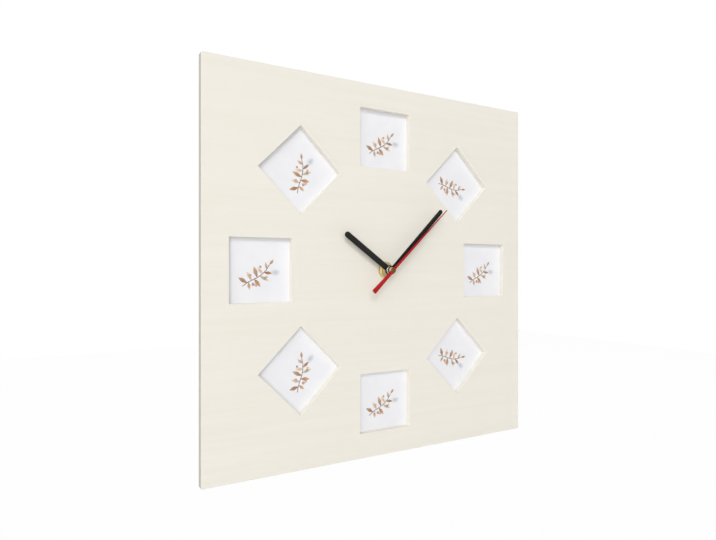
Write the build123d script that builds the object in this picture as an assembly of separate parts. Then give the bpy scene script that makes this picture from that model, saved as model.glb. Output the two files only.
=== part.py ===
from build123d import *
import math
import os

# Square plywood wall clock with eight picture windows round a quartz movement.
# Millimetres. +Z is up, +X is right as seen from the front, +Y runs into the wall.
# The origin is on the wall plane, behind the hands' axis.

# Driving sizes of the panel and its windows

panel_width = 300.0
panel_height = 300.0
panel_thickness = 6.0
panel_edge_break = 0.3
shaft_hole_radius = 4.2

ring_edge_distance = 43.4
window_names = (
    "top", "upper_right", "right", "lower_right",
    "bottom", "lower_left", "left", "upper_left",
)
window_spacing = 34.19
rebate_lip = 3.0
rebate_depth = 1.0

# Picture cards, backings, and the buttons that hold them

card_thickness = 0.35
card_side_gap = 0.25
backing_thickness = 1.6
backing_side_gap = 0.3

button_width = 7.0
button_sheet = 0.8
button_pivot_offset = 6.0
button_overlap = 5.5
button_bend_offset = 4.7
button_float = 0.1
button_over_backing = 0.15

screw_shank_radius = 1.25
screw_length = 5.0
screw_head_radius = 2.4
screw_head_height = 1.5
screw_head_round = 0.9
screw_slot_width = 0.6
screw_slot_length = 2.8
screw_slot_depth = 0.7
pilot_gap = 0.03

# Running clearances and the one overrun that every cut uses

pivot_gap = 0.05
button_pivot_gap = 0.08
seat_gap = 0.1
cut_overrun = 1.0

# Movement housing

movement_depth = 16.0
case_wall = 1.4
case_corner_radius = 4.0
rubber_washer_thickness = 1.0
rubber_washer_radius = 11.0
partition_thickness = 1.0
cover_thickness = 1.6
cover_lip_depth = 1.5
cover_lip_thickness = 1.0
cover_lip_length = 20.0
cover_corner_break = 0.4

knob_cup_floor = 1.2
knob_cup_wall = 1.0
knob_cup_gap = 0.8

# Bushing, nut and washers that clamp the movement to the panel

bushing_radius = 4.0
bushing_flange_radius = 5.6
bushing_flange_thickness = 0.7
bushing_stand_out = 0.9
thread_depth = 0.35
nut_across_flats = 10.0
nut_thickness = 2.0
nut_edge_break = 0.3
dial_washer_radius = 7.1
dial_washer_thickness = 0.6

# Steel hanger between the movement and the panel

hanger_sheet = 0.8
hanger_width = 20.0
hanger_drop = 12.0
hanger_case_gap = 0.5
hanger_wall_gap = 3.0
hanger_tab_height = 15.0
hanger_tab_round = 5.0
nail_hole_radius = 3.0

# AA cell, its bay and its contacts

cell_radius = 7.1
cell_body_length = 49.2
cell_nub_radius = 2.6
cell_nub_length = 1.0
cell_edge_round = 0.6
cell_side_gap = 0.25
cell_floor_gap = 0.15
cell_spring_room = 2.1
contact_sheet = 0.4
contact_pad_height = 9.0
contact_pad_width = 8.0
contact_touch_gap = 0.05
contact_strip_width = 3.4
contact_tab_length = 4.4
contact_tab_height = 3.0
leaf_height = 6.0

# Levels of the train, each measured from the outside of the case front

hour_level = 1.8
motion_level = 3.1
minute_level = 4.6
third_level = 6.0
seconds_level = 7.4
intermediate_level = 8.8
bridge_level = 10.2
board_level = 11.2
wheel_thickness = 0.8
pinion_overhang = 0.2
bridge_thickness = 1.2
cannon_pinion_thickness = 1.0

# Tooth counts and modules of the meshing pairs

rotor_teeth, intermediate_teeth = 8, 48
intermediate_pinion_teeth, seconds_teeth = 8, 40
seconds_pinion_teeth, third_teeth = 8, 60
third_pinion_teeth, minute_teeth = 8, 64
cannon_teeth, motion_teeth = 12, 36
motion_pinion_teeth, hour_teeth = 10, 40
knob_teeth = 12

rotor_module = 0.34
intermediate_module = 0.46
third_module = 0.31
motion_module = 0.4

addendum_share = 1.0
dedendum_share = 1.25
tooth_root_share = 0.5
tooth_tip_share = 0.2

# Directions of the axes, in degrees clockwise from twelve as seen from the front

third_direction = 290.0
intermediate_direction = 70.0
rotor_direction = 60.0
motion_direction = 350.0
knob_direction = 310.0

# Arbors, pipes and posts

arbor_radius = 0.4
seconds_arbor_radius = 0.5
minute_pipe_radius = 1.75
hour_pipe_radius = 2.55
pivot_boss_radius = 1.1
pivot_boss_depth = 1.0
post_radius = 1.3
post_pin_radius = 0.8
post_pin_length = 0.4
motion_post_radius = 0.8
knob_shaft_radius = 1.2
knob_boss_radius = 2.1
knob_boss_height = 1.3
knob_radius = 7.0
knob_thickness = 1.6
knob_rear_gap = 0.3
knob_floor_gap = 0.2
knob_grip_count = 24
knob_grip_radius = 0.45
end_shake = 0.3

# Stepping motor and its circuit board

magnet_radius = 3.0
magnet_thickness = 2.4
magnet_level = 5.2
magnet_air_gap = 0.5
stator_thickness = 1.0
stator_bar_half_height = 4.6
stator_leg_width = 3.4
stator_top_gap = 3.6
stator_left_leg_x = 3.0
stator_right_leg_x = 21.8
stator_side_gap = 1.4
stator_neck_height = 3.2
coil_top_gap = 6.1
coil_core_height = 3.0
coil_winding_radius = 3.0
coil_flange_radius = 3.4
coil_flange_thickness = 0.8
coil_end_gap = 0.4
board_thickness = 1.0
board_side_gap = 2.6
board_height = 7.0
board_top_gap = 0.5
chip_length = 6.0
chip_width = 4.0
chip_thickness = 0.9
crystal_radius = 0.9
crystal_length = 6.0
component_gap = 1.5

# Places in the case as shares of half its side, across and up

bridge_post_shares = ((-0.84, -0.27), (0.84, -0.27), (-0.84, 0.55), (0.285, 0.53))
board_post_shares = ((-0.72, 0.81), (0.02, 0.86), (0.85, 0.885))
bridge_side_share = 0.91
bridge_foot_share = 0.33
bridge_left_top_share = 0.655
bridge_right_top_share = 0.585
bridge_step_share = 0.06

# Hands, with heights measured from the front of the panel to the back of each hand

hand_sheet = 0.5
hour_hand_height = 5.8
hour_hand_length = 50.0
hour_hand_width = 4.8
hour_hub_radius = 4.1
hour_hand_angle = 305.5
minute_hand_height = 8.6
minute_hand_length = 72.0
minute_hand_width = 3.8
minute_hub_radius = 3.3
minute_hand_angle = 45.2
second_hand_height = 11.3
second_hand_length = 74.5
second_tip_width = 0.6
second_root_width = 2.0
second_hub_radius = 2.2
second_tail_length = 25.2
second_tail_root_width = 2.4
second_tail_end_width = 4.0
second_tail_corner = 0.9
second_hand_angle = 46.9
hour_collar_wall = 0.6
minute_collar_wall = 0.75
collar_below = 0.8
collar_above = 0.3
second_boss_radius = 1.3
second_boss_below = 1.1
second_boss_above = 0.5
second_boss_cap = 0.4
second_cap_radius = 2.0

# Planes and places worked out from the sizes above

case_front_y = -movement_depth
hanger_front_y = case_front_y - hanger_sheet
panel_rear_y = hanger_front_y - rubber_washer_thickness
panel_front_y = panel_rear_y - panel_thickness
rebate_floor_y = panel_rear_y - rebate_depth
card_rear_y = rebate_floor_y + card_thickness
backing_rear_y = card_rear_y + backing_thickness
cover_front_y = -cover_thickness
cell_room = cell_nub_length + cell_body_length + cell_spring_room + 2 * (contact_sheet + contact_touch_gap)
motor_room = 2 * (stator_right_leg_x + stator_leg_width + stator_side_gap)
case_inner_half = max(cell_room, motor_room) / 2
case_side = 2 * (case_inner_half + case_wall)
bay_floor_y = case_front_y + case_wall
washer_front_y = panel_front_y - dial_washer_thickness
nut_front_y = washer_front_y - nut_thickness
bushing_front_y = nut_front_y - bushing_stand_out
ring_radius = min(panel_width, panel_height) / 2 - ring_edge_distance
window_step = 2 * ring_radius * math.sin(math.pi / len(window_names))
window_side = window_step - window_spacing
rebate_side = window_side + 2 * rebate_lip
button_pivot_x = rebate_side / 2 + button_pivot_offset
button_reach = button_pivot_offset + button_overlap
cell_z = -case_inner_half + cell_side_gap + cell_radius
bay_top_z = cell_z + cell_radius + cell_side_gap
cell_y = bay_floor_y + cell_floor_gap + cell_radius
board_width = 2 * (case_inner_half - board_side_gap)
coil_axis_z = case_inner_half - coil_top_gap
stator_leg_top = case_inner_half - stator_top_gap
knob_cup_radius = knob_radius + knob_cup_gap
knob_cup_depth = knob_rear_gap + knob_thickness + knob_floor_gap
ring_angles = [360 * index / len(window_names) for index in range(len(window_names))]


def level_y(level):
    """Return the Y of a level that is measured from the outside of the case front."""
    return case_front_y + level


def slab(outline, rear_y, front_y):
    """Fill the space between two upright planes with an outline drawn as seen from the front."""
    return extrude(Plane.XZ.offset(-rear_y) * outline, amount=rear_y - front_y, dir=(0, -1, 0))


def rod(place, radius, rear_y, front_y):
    """Return a round bar along Y at a place (x, z)."""
    return slab(Pos(*place) * Circle(radius), rear_y, front_y)


def tube(place, radius, bore_radius, rear_y, front_y):
    """Return a round tube along Y at a place (x, z)."""
    return slab(Pos(*place) * (Circle(radius) - Circle(bore_radius)), rear_y, front_y)


def box_between(low, high):
    """Return the box between two opposite corners."""
    size = [top - bottom for bottom, top in zip(low, high)]
    return Pos(*low) * Box(*size, align=(Align.MIN, Align.MIN, Align.MIN))


def polar(distance, direction):
    """Return (x, z) at a distance from the hands' axis, clockwise from twelve."""
    turn = math.radians(direction)
    return (distance * math.sin(turn), distance * math.cos(turn))


def beyond(place, distance, direction):
    """Return (x, z) at a distance and direction from another place."""
    step = polar(distance, direction)
    return (place[0] + step[0], place[1] + step[1])


def in_case(share):
    """Turn a pair of shares of half the case side into (x, z)."""
    return (share[0] * case_side / 2, share[1] * case_side / 2)


def clock_turn(angle):
    """Turn an outline clockwise, as seen from the front."""
    return Rotation(0, 0, -angle)


def on_ring(angle):
    """Carry an outline from the middle to its window's place on the ring."""
    return clock_turn(angle) * Pos(0, ring_radius)


def square(side):
    """Return a square outline about the middle."""
    return Rectangle(side, side)


def pitch_radius(teeth, module):
    """Return a gear's pitch radius."""
    return teeth * module / 2


def centre_distance(teeth_a, teeth_b, module):
    """Return the distance between the axes of two gears in mesh."""
    return pitch_radius(teeth_a, module) + pitch_radius(teeth_b, module)


def gear_outline(teeth, module, tooth_direction):
    """Return a gear's outline with one tooth centred on a direction, clockwise from twelve."""
    root = pitch_radius(teeth, module) - dedendum_share * module
    tip = pitch_radius(teeth, module) + addendum_share * module
    pitch_angle = 360 / teeth
    points = []
    for tooth in range(teeth):
        centre = tooth_direction + tooth * pitch_angle
        points.append(polar(root, centre - tooth_root_share * pitch_angle / 2))
        points.append(polar(tip, centre - tooth_tip_share * pitch_angle / 2))
        points.append(polar(tip, centre + tooth_tip_share * pitch_angle / 2))
        points.append(polar(root, centre + tooth_root_share * pitch_angle / 2))
    return Polygon(*points, align=None)


def gear(place, teeth, module, tooth_direction, level, thickness):
    """Return a solid gear at a place (x, z), from a level towards the wall."""
    outline = Pos(*place) * gear_outline(teeth, module, tooth_direction)
    return slab(outline, level_y(level + thickness), level_y(level))


def gap_towards(direction, teeth):
    """Return a tooth direction that puts a gap, not a tooth, on the given direction."""
    return direction + 180 / teeth


# Axes of the train

third_distance = centre_distance(seconds_pinion_teeth, third_teeth, third_module)
minute_module = 2 * third_distance / (third_pinion_teeth + minute_teeth)
intermediate_distance = centre_distance(intermediate_pinion_teeth, seconds_teeth, intermediate_module)
motion_distance = centre_distance(cannon_teeth, motion_teeth, motion_module)
hour_module = 2 * motion_distance / (motion_pinion_teeth + hour_teeth)
centre_axis = (0, 0)
third_axis = polar(third_distance, third_direction)
intermediate_axis = polar(intermediate_distance, intermediate_direction)
motion_axis = polar(motion_distance, motion_direction)
rotor_axis = beyond(
    intermediate_axis,
    centre_distance(rotor_teeth, intermediate_teeth, rotor_module),
    rotor_direction,
)
knob_axis = beyond(
    motion_axis,
    centre_distance(knob_teeth, motion_teeth, motion_module),
    knob_direction,
)
pinion_thickness = wheel_thickness + 2 * pinion_overhang
motor_level = third_level
core_level = motor_level + stator_thickness
coil_centre_level = core_level + stator_thickness / 2
stator_post_places = (
    (stator_left_leg_x + stator_leg_width / 2, coil_axis_z),
    (stator_right_leg_x + stator_leg_width / 2, coil_axis_z),
)


def make_front_panel():
    """Plywood panel: eight square windows, a rebate behind each, and the shaft hole."""
    panel = slab(Rectangle(panel_width, panel_height), panel_rear_y, panel_front_y)
    panel = chamfer(panel.edges(), panel_edge_break)
    panel -= rod(centre_axis, shaft_hole_radius, panel_rear_y + cut_overrun, panel_front_y - cut_overrun)
    pilot_radius = screw_shank_radius + pilot_gap
    for angle in ring_angles:
        panel -= slab(on_ring(angle) * square(window_side), panel_rear_y, panel_front_y - cut_overrun)
        panel -= slab(on_ring(angle) * square(rebate_side), panel_rear_y + cut_overrun, rebate_floor_y)
        for side in (-1, 1):
            pilot = on_ring(angle) * Pos(side * button_pivot_x, 0) * Circle(pilot_radius)
            panel -= slab(pilot, panel_rear_y + cut_overrun, screw_tip_y() - pilot_gap)
    return panel


def make_photo_card(angle):
    """Card that lies on the rebate floor, behind the window."""
    side = rebate_side - 2 * card_side_gap
    return slab(on_ring(angle) * square(side), card_rear_y, rebate_floor_y)


def make_backing(angle):
    """Hardboard square that presses the card into the rebate."""
    side = rebate_side - 2 * backing_side_gap
    return slab(on_ring(angle) * square(side), backing_rear_y, card_rear_y)


def button_foot_y():
    """Return the Y of the face of a turn button that lies over the panel."""
    return panel_rear_y + button_float


def make_turn_button(angle, side):
    """Offset turn button: a foot round its screw and a tongue over the backing."""
    straight = button_reach - button_width / 2
    plan = Pos(straight / 2, 0) * SlotCenterToCenter(straight, button_width)
    plan -= Circle(screw_shank_radius + button_pivot_gap)
    bend = button_bend_offset - button_sheet
    foot_y = button_foot_y()
    tongue_y = backing_rear_y + button_over_backing
    foot_zone = Pos(button_bend_offset - button_reach / 2, 0) * Rectangle(button_reach, button_width)
    tongue_zone = Pos(bend + button_reach / 2, 0) * Rectangle(button_reach, button_width)
    riser_zone = Pos(bend + button_sheet / 2, 0) * Rectangle(button_sheet, button_width)
    turn = on_ring(angle) * Pos(side * button_pivot_x, 0) * Rotation(0, 0, 180 if side > 0 else 0)
    button = slab(turn * (plan & foot_zone), foot_y + button_sheet, foot_y)
    button += slab(turn * (plan & riser_zone), tongue_y + button_sheet, foot_y)
    button += slab(turn * (plan & tongue_zone), tongue_y + button_sheet, tongue_y)
    return button


def screw_head_y():
    """Return the Y under a screw's head."""
    return button_foot_y() + button_sheet + button_float


def screw_tip_y():
    """Return the Y of a screw's front end."""
    return screw_head_y() - screw_length


def make_turn_button_screws():
    """The pan-head screws that the turn buttons pivot on, one solid each."""
    head_y = screw_head_y()
    top_y = head_y + screw_head_height
    head = rod(centre_axis, screw_head_radius, top_y, head_y)
    head = fillet(head.edges().filter_by(GeomType.CIRCLE).sort_by(Axis.Y)[-1:], screw_head_round)
    screw = head + rod(centre_axis, screw_shank_radius, head_y, screw_tip_y())
    for turn in (0, 90):
        slot = Rotation(0, 0, turn) * Rectangle(screw_slot_length, screw_slot_width)
        screw -= slab(slot, top_y + cut_overrun, top_y - screw_slot_depth)
    screws = []
    for angle in ring_angles:
        for side in (-1, 1):
            x, z = ring_place(angle, side * button_pivot_x)
            screws.append(Pos(x, 0, z) * screw)
    return Compound(children=screws)


def ring_place(angle, across):
    """Return (x, z) of a point beside a window's centre, across the ring's radius."""
    turn = math.radians(angle)
    x = ring_radius * math.sin(turn) + across * math.cos(turn)
    z = ring_radius * math.cos(turn) - across * math.sin(turn)
    return (x, z)


def case_outline(inset):
    """Return the case's rounded square, drawn in by an inset."""
    side = case_side - 2 * inset
    return RectangleRounded(side, side, max(case_corner_radius - inset, cover_corner_break))


def half_space_above(z):
    """Return an outline that covers the case above a height."""
    return Pos(0, z + case_side / 2) * square(case_side)


def make_movement_case():
    """Front shell of the movement: walls, cell bay, partition, pivot bosses and posts."""
    case = slab(case_outline(0), cover_front_y, case_front_y)
    room = case_outline(case_wall)
    train_room = room & half_space_above(bay_top_z + partition_thickness)
    bay_room = room - half_space_above(bay_top_z)
    case -= slab(train_room, cover_front_y + cut_overrun, bay_floor_y)
    case -= slab(bay_room, cover_front_y + cut_overrun, bay_floor_y)
    notch_top_z = bay_top_z + partition_thickness + seat_gap
    for side in (-1, 1):
        notch_x = side * (case_inner_half - contact_sheet - seat_gap)
        low_x, high_x = sorted((side * case_inner_half, notch_x))
        case -= box_between(
            (low_x, level_y(strip_front_level()) - seat_gap, bay_top_z - seat_gap),
            (high_x, cover_front_y + cut_overrun, notch_top_z),
        )
    for place in map(in_case, bridge_post_shares):
        pin_rear_y = level_y(bridge_level + bridge_thickness) + post_pin_length
        case += rod(place, post_radius, level_y(bridge_level), bay_floor_y)
        case += rod(place, post_pin_radius, pin_rear_y, bay_floor_y)
    for place in map(in_case, board_post_shares):
        case += rod(place, post_radius, level_y(board_level), bay_floor_y)
    for place in stator_post_places:
        pin_rear_y = level_y(core_level + stator_thickness) + post_pin_length
        case += rod(place, post_radius, level_y(motor_level), bay_floor_y)
        case += rod(place, post_pin_radius, pin_rear_y, bay_floor_y)
    for place, boss_level in boss_levels():
        case += rod(place, pivot_boss_radius, level_y(boss_level), bay_floor_y)
        case -= rod(
            place, arbor_radius + pivot_gap,
            level_y(boss_level) + cut_overrun, level_y(boss_level - pivot_boss_depth),
        )
    motion_post_rear_y = level_y(motion_level + cannon_pinion_thickness)
    case += rod(motion_axis, motion_post_radius, motion_post_rear_y, bay_floor_y)
    case += rod(knob_axis, knob_boss_radius, bay_floor_y + knob_boss_height, bay_floor_y)
    case -= rod(
        knob_axis, knob_shaft_radius + pivot_gap,
        bay_floor_y + knob_boss_height + cut_overrun, bay_floor_y,
    )
    case -= rod(centre_axis, bushing_radius, cover_front_y, case_front_y - cut_overrun)
    case -= rod(centre_axis, bushing_flange_radius, cover_front_y, bay_floor_y - bushing_flange_thickness)
    return case


def strip_front_level():
    """Return the level of the front edge of the contact strips."""
    return board_level + board_thickness + contact_sheet - contact_strip_width


def boss_levels():
    """Return each pivot boss's place and the level that it reaches."""
    return (
        (third_axis, minute_level - pinion_overhang - end_shake),
        (intermediate_axis, seconds_level - pinion_overhang - end_shake),
        (rotor_axis, magnet_level - end_shake),
    )


def make_rear_cover():
    """Rear cover with the cell opening, the knob's cup and the lips that clip into the case."""
    cover = slab(case_outline(0), 0, cover_front_y)
    cover = chamfer(cover.edges().group_by(Axis.Y)[-1], cover_corner_break)
    opening = case_outline(case_wall) - half_space_above(bay_top_z)
    cover -= slab(opening, cut_overrun, cover_front_y - cut_overrun)
    cup_floor_y = -knob_cup_depth
    cup_front_y = cup_floor_y - knob_cup_floor
    cover += rod(knob_axis, knob_cup_radius + knob_cup_wall, cover_front_y, cup_front_y)
    cover -= rod(knob_axis, knob_cup_radius, cut_overrun, cup_floor_y)
    cover -= rod(knob_axis, knob_shaft_radius + pivot_gap, cut_overrun, cup_front_y - cut_overrun)
    reach = case_inner_half - seat_gap
    lip_front_y = cover_front_y - cover_lip_depth
    half_lip = cover_lip_length / 2
    cover += box_between(
        (-half_lip, lip_front_y, reach - cover_lip_thickness),
        (half_lip, cover_front_y, reach),
    )
    for side in (-1, 1):
        low_x, high_x = sorted((side * reach, side * (reach - cover_lip_thickness)))
        cover += box_between((low_x, lip_front_y, -half_lip / 2), (high_x, cover_front_y, half_lip / 2))
    return cover


def make_threaded_bushing():
    """Brass bushing: a flange inside the case and a threaded neck through the panel."""
    bore_radius = hour_pipe_radius + pivot_gap
    bushing = tube(centre_axis, bushing_radius, bore_radius, bay_floor_y, bushing_front_y)
    bushing += tube(
        centre_axis, bushing_flange_radius, bore_radius,
        bay_floor_y, bay_floor_y - bushing_flange_thickness,
    )
    front_edge = bushing.edges().filter_by(GeomType.CIRCLE).group_by(Axis.Y)[0].sort_by(SortBy.RADIUS)[-1:]
    bushing = chamfer(front_edge, thread_depth)
    return bushing


def make_nut():
    """Brass hexagon nut on the bushing."""
    outline = RegularPolygon(nut_across_flats / 2, 6, major_radius=False, rotation=30)
    nut = slab(outline - Circle(bushing_radius), washer_front_y, nut_front_y)
    cone = rod(centre_axis, nut_across_flats / math.sqrt(3), washer_front_y, nut_front_y)
    return nut & chamfer(cone.edges().filter_by(GeomType.CIRCLE).group_by(Axis.Y)[0], nut_edge_break)


def make_dial_washer():
    """Brass washer between the nut and the panel."""
    return tube(centre_axis, dial_washer_radius, bushing_radius, panel_front_y, washer_front_y)


def make_rubber_washer():
    """Rubber washer between the hanger and the panel."""
    return tube(centre_axis, rubber_washer_radius, bushing_radius, hanger_front_y, panel_rear_y)


def make_wall_hanger():
    """Steel hanger: clamped round the bushing, bent back over the case, up to the nail hole."""
    half_width = hanger_width / 2
    shelf_z = case_side / 2 + hanger_case_gap
    tab_rear_y = -hanger_wall_gap
    tab_top_z = shelf_z + hanger_tab_height
    front = box_between(
        (-half_width, hanger_front_y, -hanger_drop),
        (half_width, case_front_y, shelf_z + hanger_sheet),
    )
    front -= rod(centre_axis, bushing_radius, case_front_y + cut_overrun, hanger_front_y - cut_overrun)
    shelf = box_between(
        (-half_width, hanger_front_y, shelf_z),
        (half_width, tab_rear_y, shelf_z + hanger_sheet),
    )
    tab = box_between(
        (-half_width, tab_rear_y - hanger_sheet, shelf_z),
        (half_width, tab_rear_y, tab_top_z),
    )
    corners = tab.edges().filter_by(Axis.Y).group_by(Axis.Z)[-1]
    tab = fillet(corners, hanger_tab_round)
    tab -= rod(
        nail_place(), nail_hole_radius,
        tab_rear_y + cut_overrun, tab_rear_y - hanger_sheet - cut_overrun,
    )
    return front + shelf + tab


def nail_place():
    """Return (x, z) of the nail hole in the hanger's tab."""
    return (0, case_side / 2 + hanger_case_gap + hanger_sheet + hanger_tab_height / 2)


def cell_start_x():
    """Return the X of the cell's positive end."""
    return -case_inner_half + contact_sheet + contact_touch_gap


def along_x(outline, start_x, length):
    """Extrude an outline drawn in (y, z) along +X."""
    return extrude(Plane.YZ.offset(start_x) * outline, amount=length, dir=(1, 0, 0))


def make_battery():
    """AA cell with its positive nub to the left."""
    nub_x = cell_start_x()
    place = Pos(cell_y, cell_z)
    body = along_x(place * Circle(cell_radius), nub_x + cell_nub_length, cell_body_length)
    body = fillet(body.edges().filter_by(GeomType.CIRCLE), cell_edge_round)
    nub = along_x(place * Circle(cell_nub_radius), nub_x, cell_nub_length + cell_edge_round)
    return body + nub


def contact_strip(side):
    """Pad beside the cell's end, the strip up the case wall and the tab on the circuit board."""
    wall_x = side * case_inner_half
    face_x = side * (case_inner_half - contact_sheet)
    tab_x = side * (case_inner_half - contact_tab_length)
    low_x, high_x = sorted((wall_x, face_x))
    tab_low_x, tab_high_x = sorted((wall_x, tab_x))
    strip_front_y = level_y(strip_front_level())
    strip_rear_y = strip_front_y + contact_strip_width
    tab_low_z = board_low_z() + contact_sheet
    tab_top_z = tab_low_z + contact_tab_height
    pad_half_height = contact_pad_height / 2
    pad_half_width = contact_pad_width / 2
    contact = box_between(
        (low_x, cell_y - pad_half_width, cell_z - pad_half_height),
        (high_x, strip_rear_y, cell_z + pad_half_height),
    )
    contact += box_between(
        (low_x, strip_front_y, cell_z + pad_half_height),
        (high_x, strip_rear_y, tab_top_z),
    )
    contact += box_between(
        (tab_low_x, strip_rear_y - contact_sheet, tab_low_z),
        (tab_high_x, strip_rear_y, tab_top_z),
    )
    return contact


def make_positive_contact():
    """Flat steel contact at the cell's nub."""
    return contact_strip(-1)


def make_negative_contact():
    """Steel contact with a sprung leaf against the cell's flat end."""
    face_x = case_inner_half - contact_sheet
    cell_end_x = cell_start_x() + cell_nub_length + cell_body_length + contact_touch_gap
    leaf = Polygon(
        (face_x, cell_y - contact_pad_width / 2),
        (face_x, cell_y - contact_pad_width / 2 + contact_sheet),
        (cell_end_x + contact_sheet, cell_y),
        (face_x - contact_sheet / 2, cell_y + contact_pad_width / 4),
        (face_x - contact_sheet, cell_y + contact_pad_width / 4),
        (cell_end_x, cell_y + contact_sheet / 2),
        (cell_end_x, cell_y - contact_sheet / 2),
        align=None,
    )
    leaf = extrude(Plane.XY.offset(cell_z - leaf_height / 2) * leaf, amount=leaf_height, dir=(0, 0, 1))
    return contact_strip(1) + leaf


def board_low_z():
    """Return the Z of the circuit board's lower edge."""
    return case_inner_half - board_top_gap - board_height


def make_circuit_board():
    """Circuit board with its quartz crystal and its chip, both clear of the knob's cup."""
    rear_y = level_y(board_level + board_thickness)
    low_z = board_low_z()
    middle_z = low_z + board_height / 2
    half_width = board_width / 2
    board = box_between(
        (-half_width, level_y(board_level), low_z),
        (half_width, rear_y, low_z + board_height),
    )
    crystal_start_x = knob_axis[0] + knob_cup_radius + knob_cup_wall + component_gap
    chip_start_x = crystal_start_x + crystal_length + component_gap
    chip = box_between(
        (chip_start_x, rear_y, middle_z - chip_width / 2),
        (chip_start_x + chip_length, rear_y + chip_thickness, middle_z + chip_width / 2),
    )
    crystal = along_x(
        Pos(rear_y + crystal_radius, middle_z) * Circle(crystal_radius),
        crystal_start_x, crystal_length,
    )
    return Compound(children=[board, chip, crystal])


def make_stator():
    """Flat steel stator: a bar round the rotor and two legs up to the coil's core."""
    x, z = rotor_axis
    left_x = stator_left_leg_x
    right_x = stator_right_leg_x + stator_leg_width
    bar_low_z = z - stator_bar_half_height
    bar_top_z = z + stator_bar_half_height
    bar_left_x = x - stator_bar_half_height
    neck_low_z = bar_top_z - stator_neck_height
    outline = Polygon(
        (left_x, neck_low_z),
        (bar_left_x, neck_low_z),
        (bar_left_x, bar_low_z),
        (right_x, bar_low_z),
        (right_x, stator_leg_top),
        (stator_right_leg_x, stator_leg_top),
        (stator_right_leg_x, bar_top_z),
        (left_x + stator_leg_width, bar_top_z),
        (left_x + stator_leg_width, stator_leg_top),
        (left_x, stator_leg_top),
        align=None,
    )
    outline -= Pos(x, z) * Circle(magnet_radius + magnet_air_gap)
    for place in stator_post_places:
        outline -= Pos(*place) * Circle(post_pin_radius + pivot_gap)
    return slab(outline, level_y(motor_level + stator_thickness), level_y(motor_level))


def make_motor_coil():
    """Coil: steel core, bobbin with two flanges, and the winding between them."""
    left_x = stator_left_leg_x + pivot_gap
    right_x = stator_right_leg_x + stator_leg_width - pivot_gap
    core_low_z = coil_axis_z - coil_core_height / 2
    core = box_between(
        (left_x, level_y(core_level), core_low_z),
        (right_x, level_y(core_level + stator_thickness), core_low_z + coil_core_height),
    )
    for place in stator_post_places:
        core -= rod(
            place, post_pin_radius + pivot_gap,
            level_y(core_level + stator_thickness) + cut_overrun, level_y(core_level) - cut_overrun,
        )
    flange_left_x = stator_left_leg_x + stator_leg_width + coil_end_gap
    flange_right_x = stator_right_leg_x - coil_end_gap
    place = Pos(level_y(coil_centre_level), coil_axis_z)
    core_section = Rectangle(stator_thickness, coil_core_height)
    flange = place * (Circle(coil_flange_radius) - core_section)
    winding = place * (Circle(coil_winding_radius) - core_section)
    winding_start_x = flange_left_x + coil_flange_thickness
    winding_end_x = flange_right_x - coil_flange_thickness
    bobbin = along_x(flange, flange_left_x, coil_flange_thickness)
    bobbin += along_x(winding, winding_start_x, winding_end_x - winding_start_x)
    bobbin += along_x(flange, winding_end_x, coil_flange_thickness)
    return Compound(children=[core, bobbin])


def make_bridge():
    """Rear bridge plate that carries the arbors' rear pivots."""
    half = case_side / 2
    side_x = bridge_side_share * half
    foot_z = -bridge_foot_share * half
    step_x = bridge_step_share * half
    outline = Polygon(
        (-side_x, foot_z),
        (side_x, foot_z),
        (side_x, bridge_right_top_share * half),
        (step_x, bridge_right_top_share * half),
        (step_x, bridge_left_top_share * half),
        (-side_x, bridge_left_top_share * half),
        align=None,
    )
    for place in (third_axis, intermediate_axis, rotor_axis):
        outline -= Pos(*place) * Circle(arbor_radius + pivot_gap)
    outline -= Circle(seconds_arbor_radius + pivot_gap)
    outline -= Pos(*knob_axis) * Circle(knob_shaft_radius + pivot_gap)
    for place in map(in_case, bridge_post_shares):
        outline -= Pos(*place) * Circle(post_pin_radius + pivot_gap)
    return slab(outline, level_y(bridge_level + bridge_thickness), level_y(bridge_level))


def arbor_rear_level():
    """Return the level of the arbors' rear ends, flush with the bridge."""
    return bridge_level + bridge_thickness


def arbor_front_level(shoulder_level):
    """Return the level of an arbor's front end, in its boss, from the shoulder over the boss."""
    return shoulder_level - pivot_boss_depth


def make_rotor():
    """Rotor: magnet, pinion and arbor."""
    rotor = rod(rotor_axis, magnet_radius, level_y(magnet_level + magnet_thickness), level_y(magnet_level))
    tooth_direction = gap_towards(rotor_direction + 180, rotor_teeth)
    rotor += gear(
        rotor_axis, rotor_teeth, rotor_module, tooth_direction,
        intermediate_level - pinion_overhang, pinion_thickness,
    )
    front_y = level_y(arbor_front_level(magnet_level))
    return rotor + rod(rotor_axis, arbor_radius, level_y(arbor_rear_level()), front_y)


def make_intermediate_wheel():
    """Intermediate wheel, driven by the rotor, with the pinion that drives the seconds wheel."""
    wheel = gear(
        intermediate_axis, intermediate_teeth, rotor_module, rotor_direction,
        intermediate_level, wheel_thickness,
    )
    pinion_level = seconds_level - pinion_overhang
    wheel += gear(
        intermediate_axis, intermediate_pinion_teeth, intermediate_module,
        gap_towards(intermediate_direction + 180, intermediate_pinion_teeth),
        pinion_level, pinion_thickness,
    )
    front_y = level_y(arbor_front_level(pinion_level))
    return wheel + rod(intermediate_axis, arbor_radius, level_y(arbor_rear_level()), front_y)


def make_seconds_wheel():
    """Seconds wheel and pinion on the long arbor that carries the second hand."""
    wheel = gear(
        centre_axis, seconds_teeth, intermediate_module, intermediate_direction,
        seconds_level, wheel_thickness,
    )
    wheel += gear(
        centre_axis, seconds_pinion_teeth, third_module, gap_towards(third_direction, seconds_pinion_teeth),
        third_level - pinion_overhang, pinion_thickness,
    )
    rear_y = level_y(arbor_rear_level())
    return wheel + rod(centre_axis, seconds_arbor_radius, rear_y, seconds_arbor_front_y())


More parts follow.
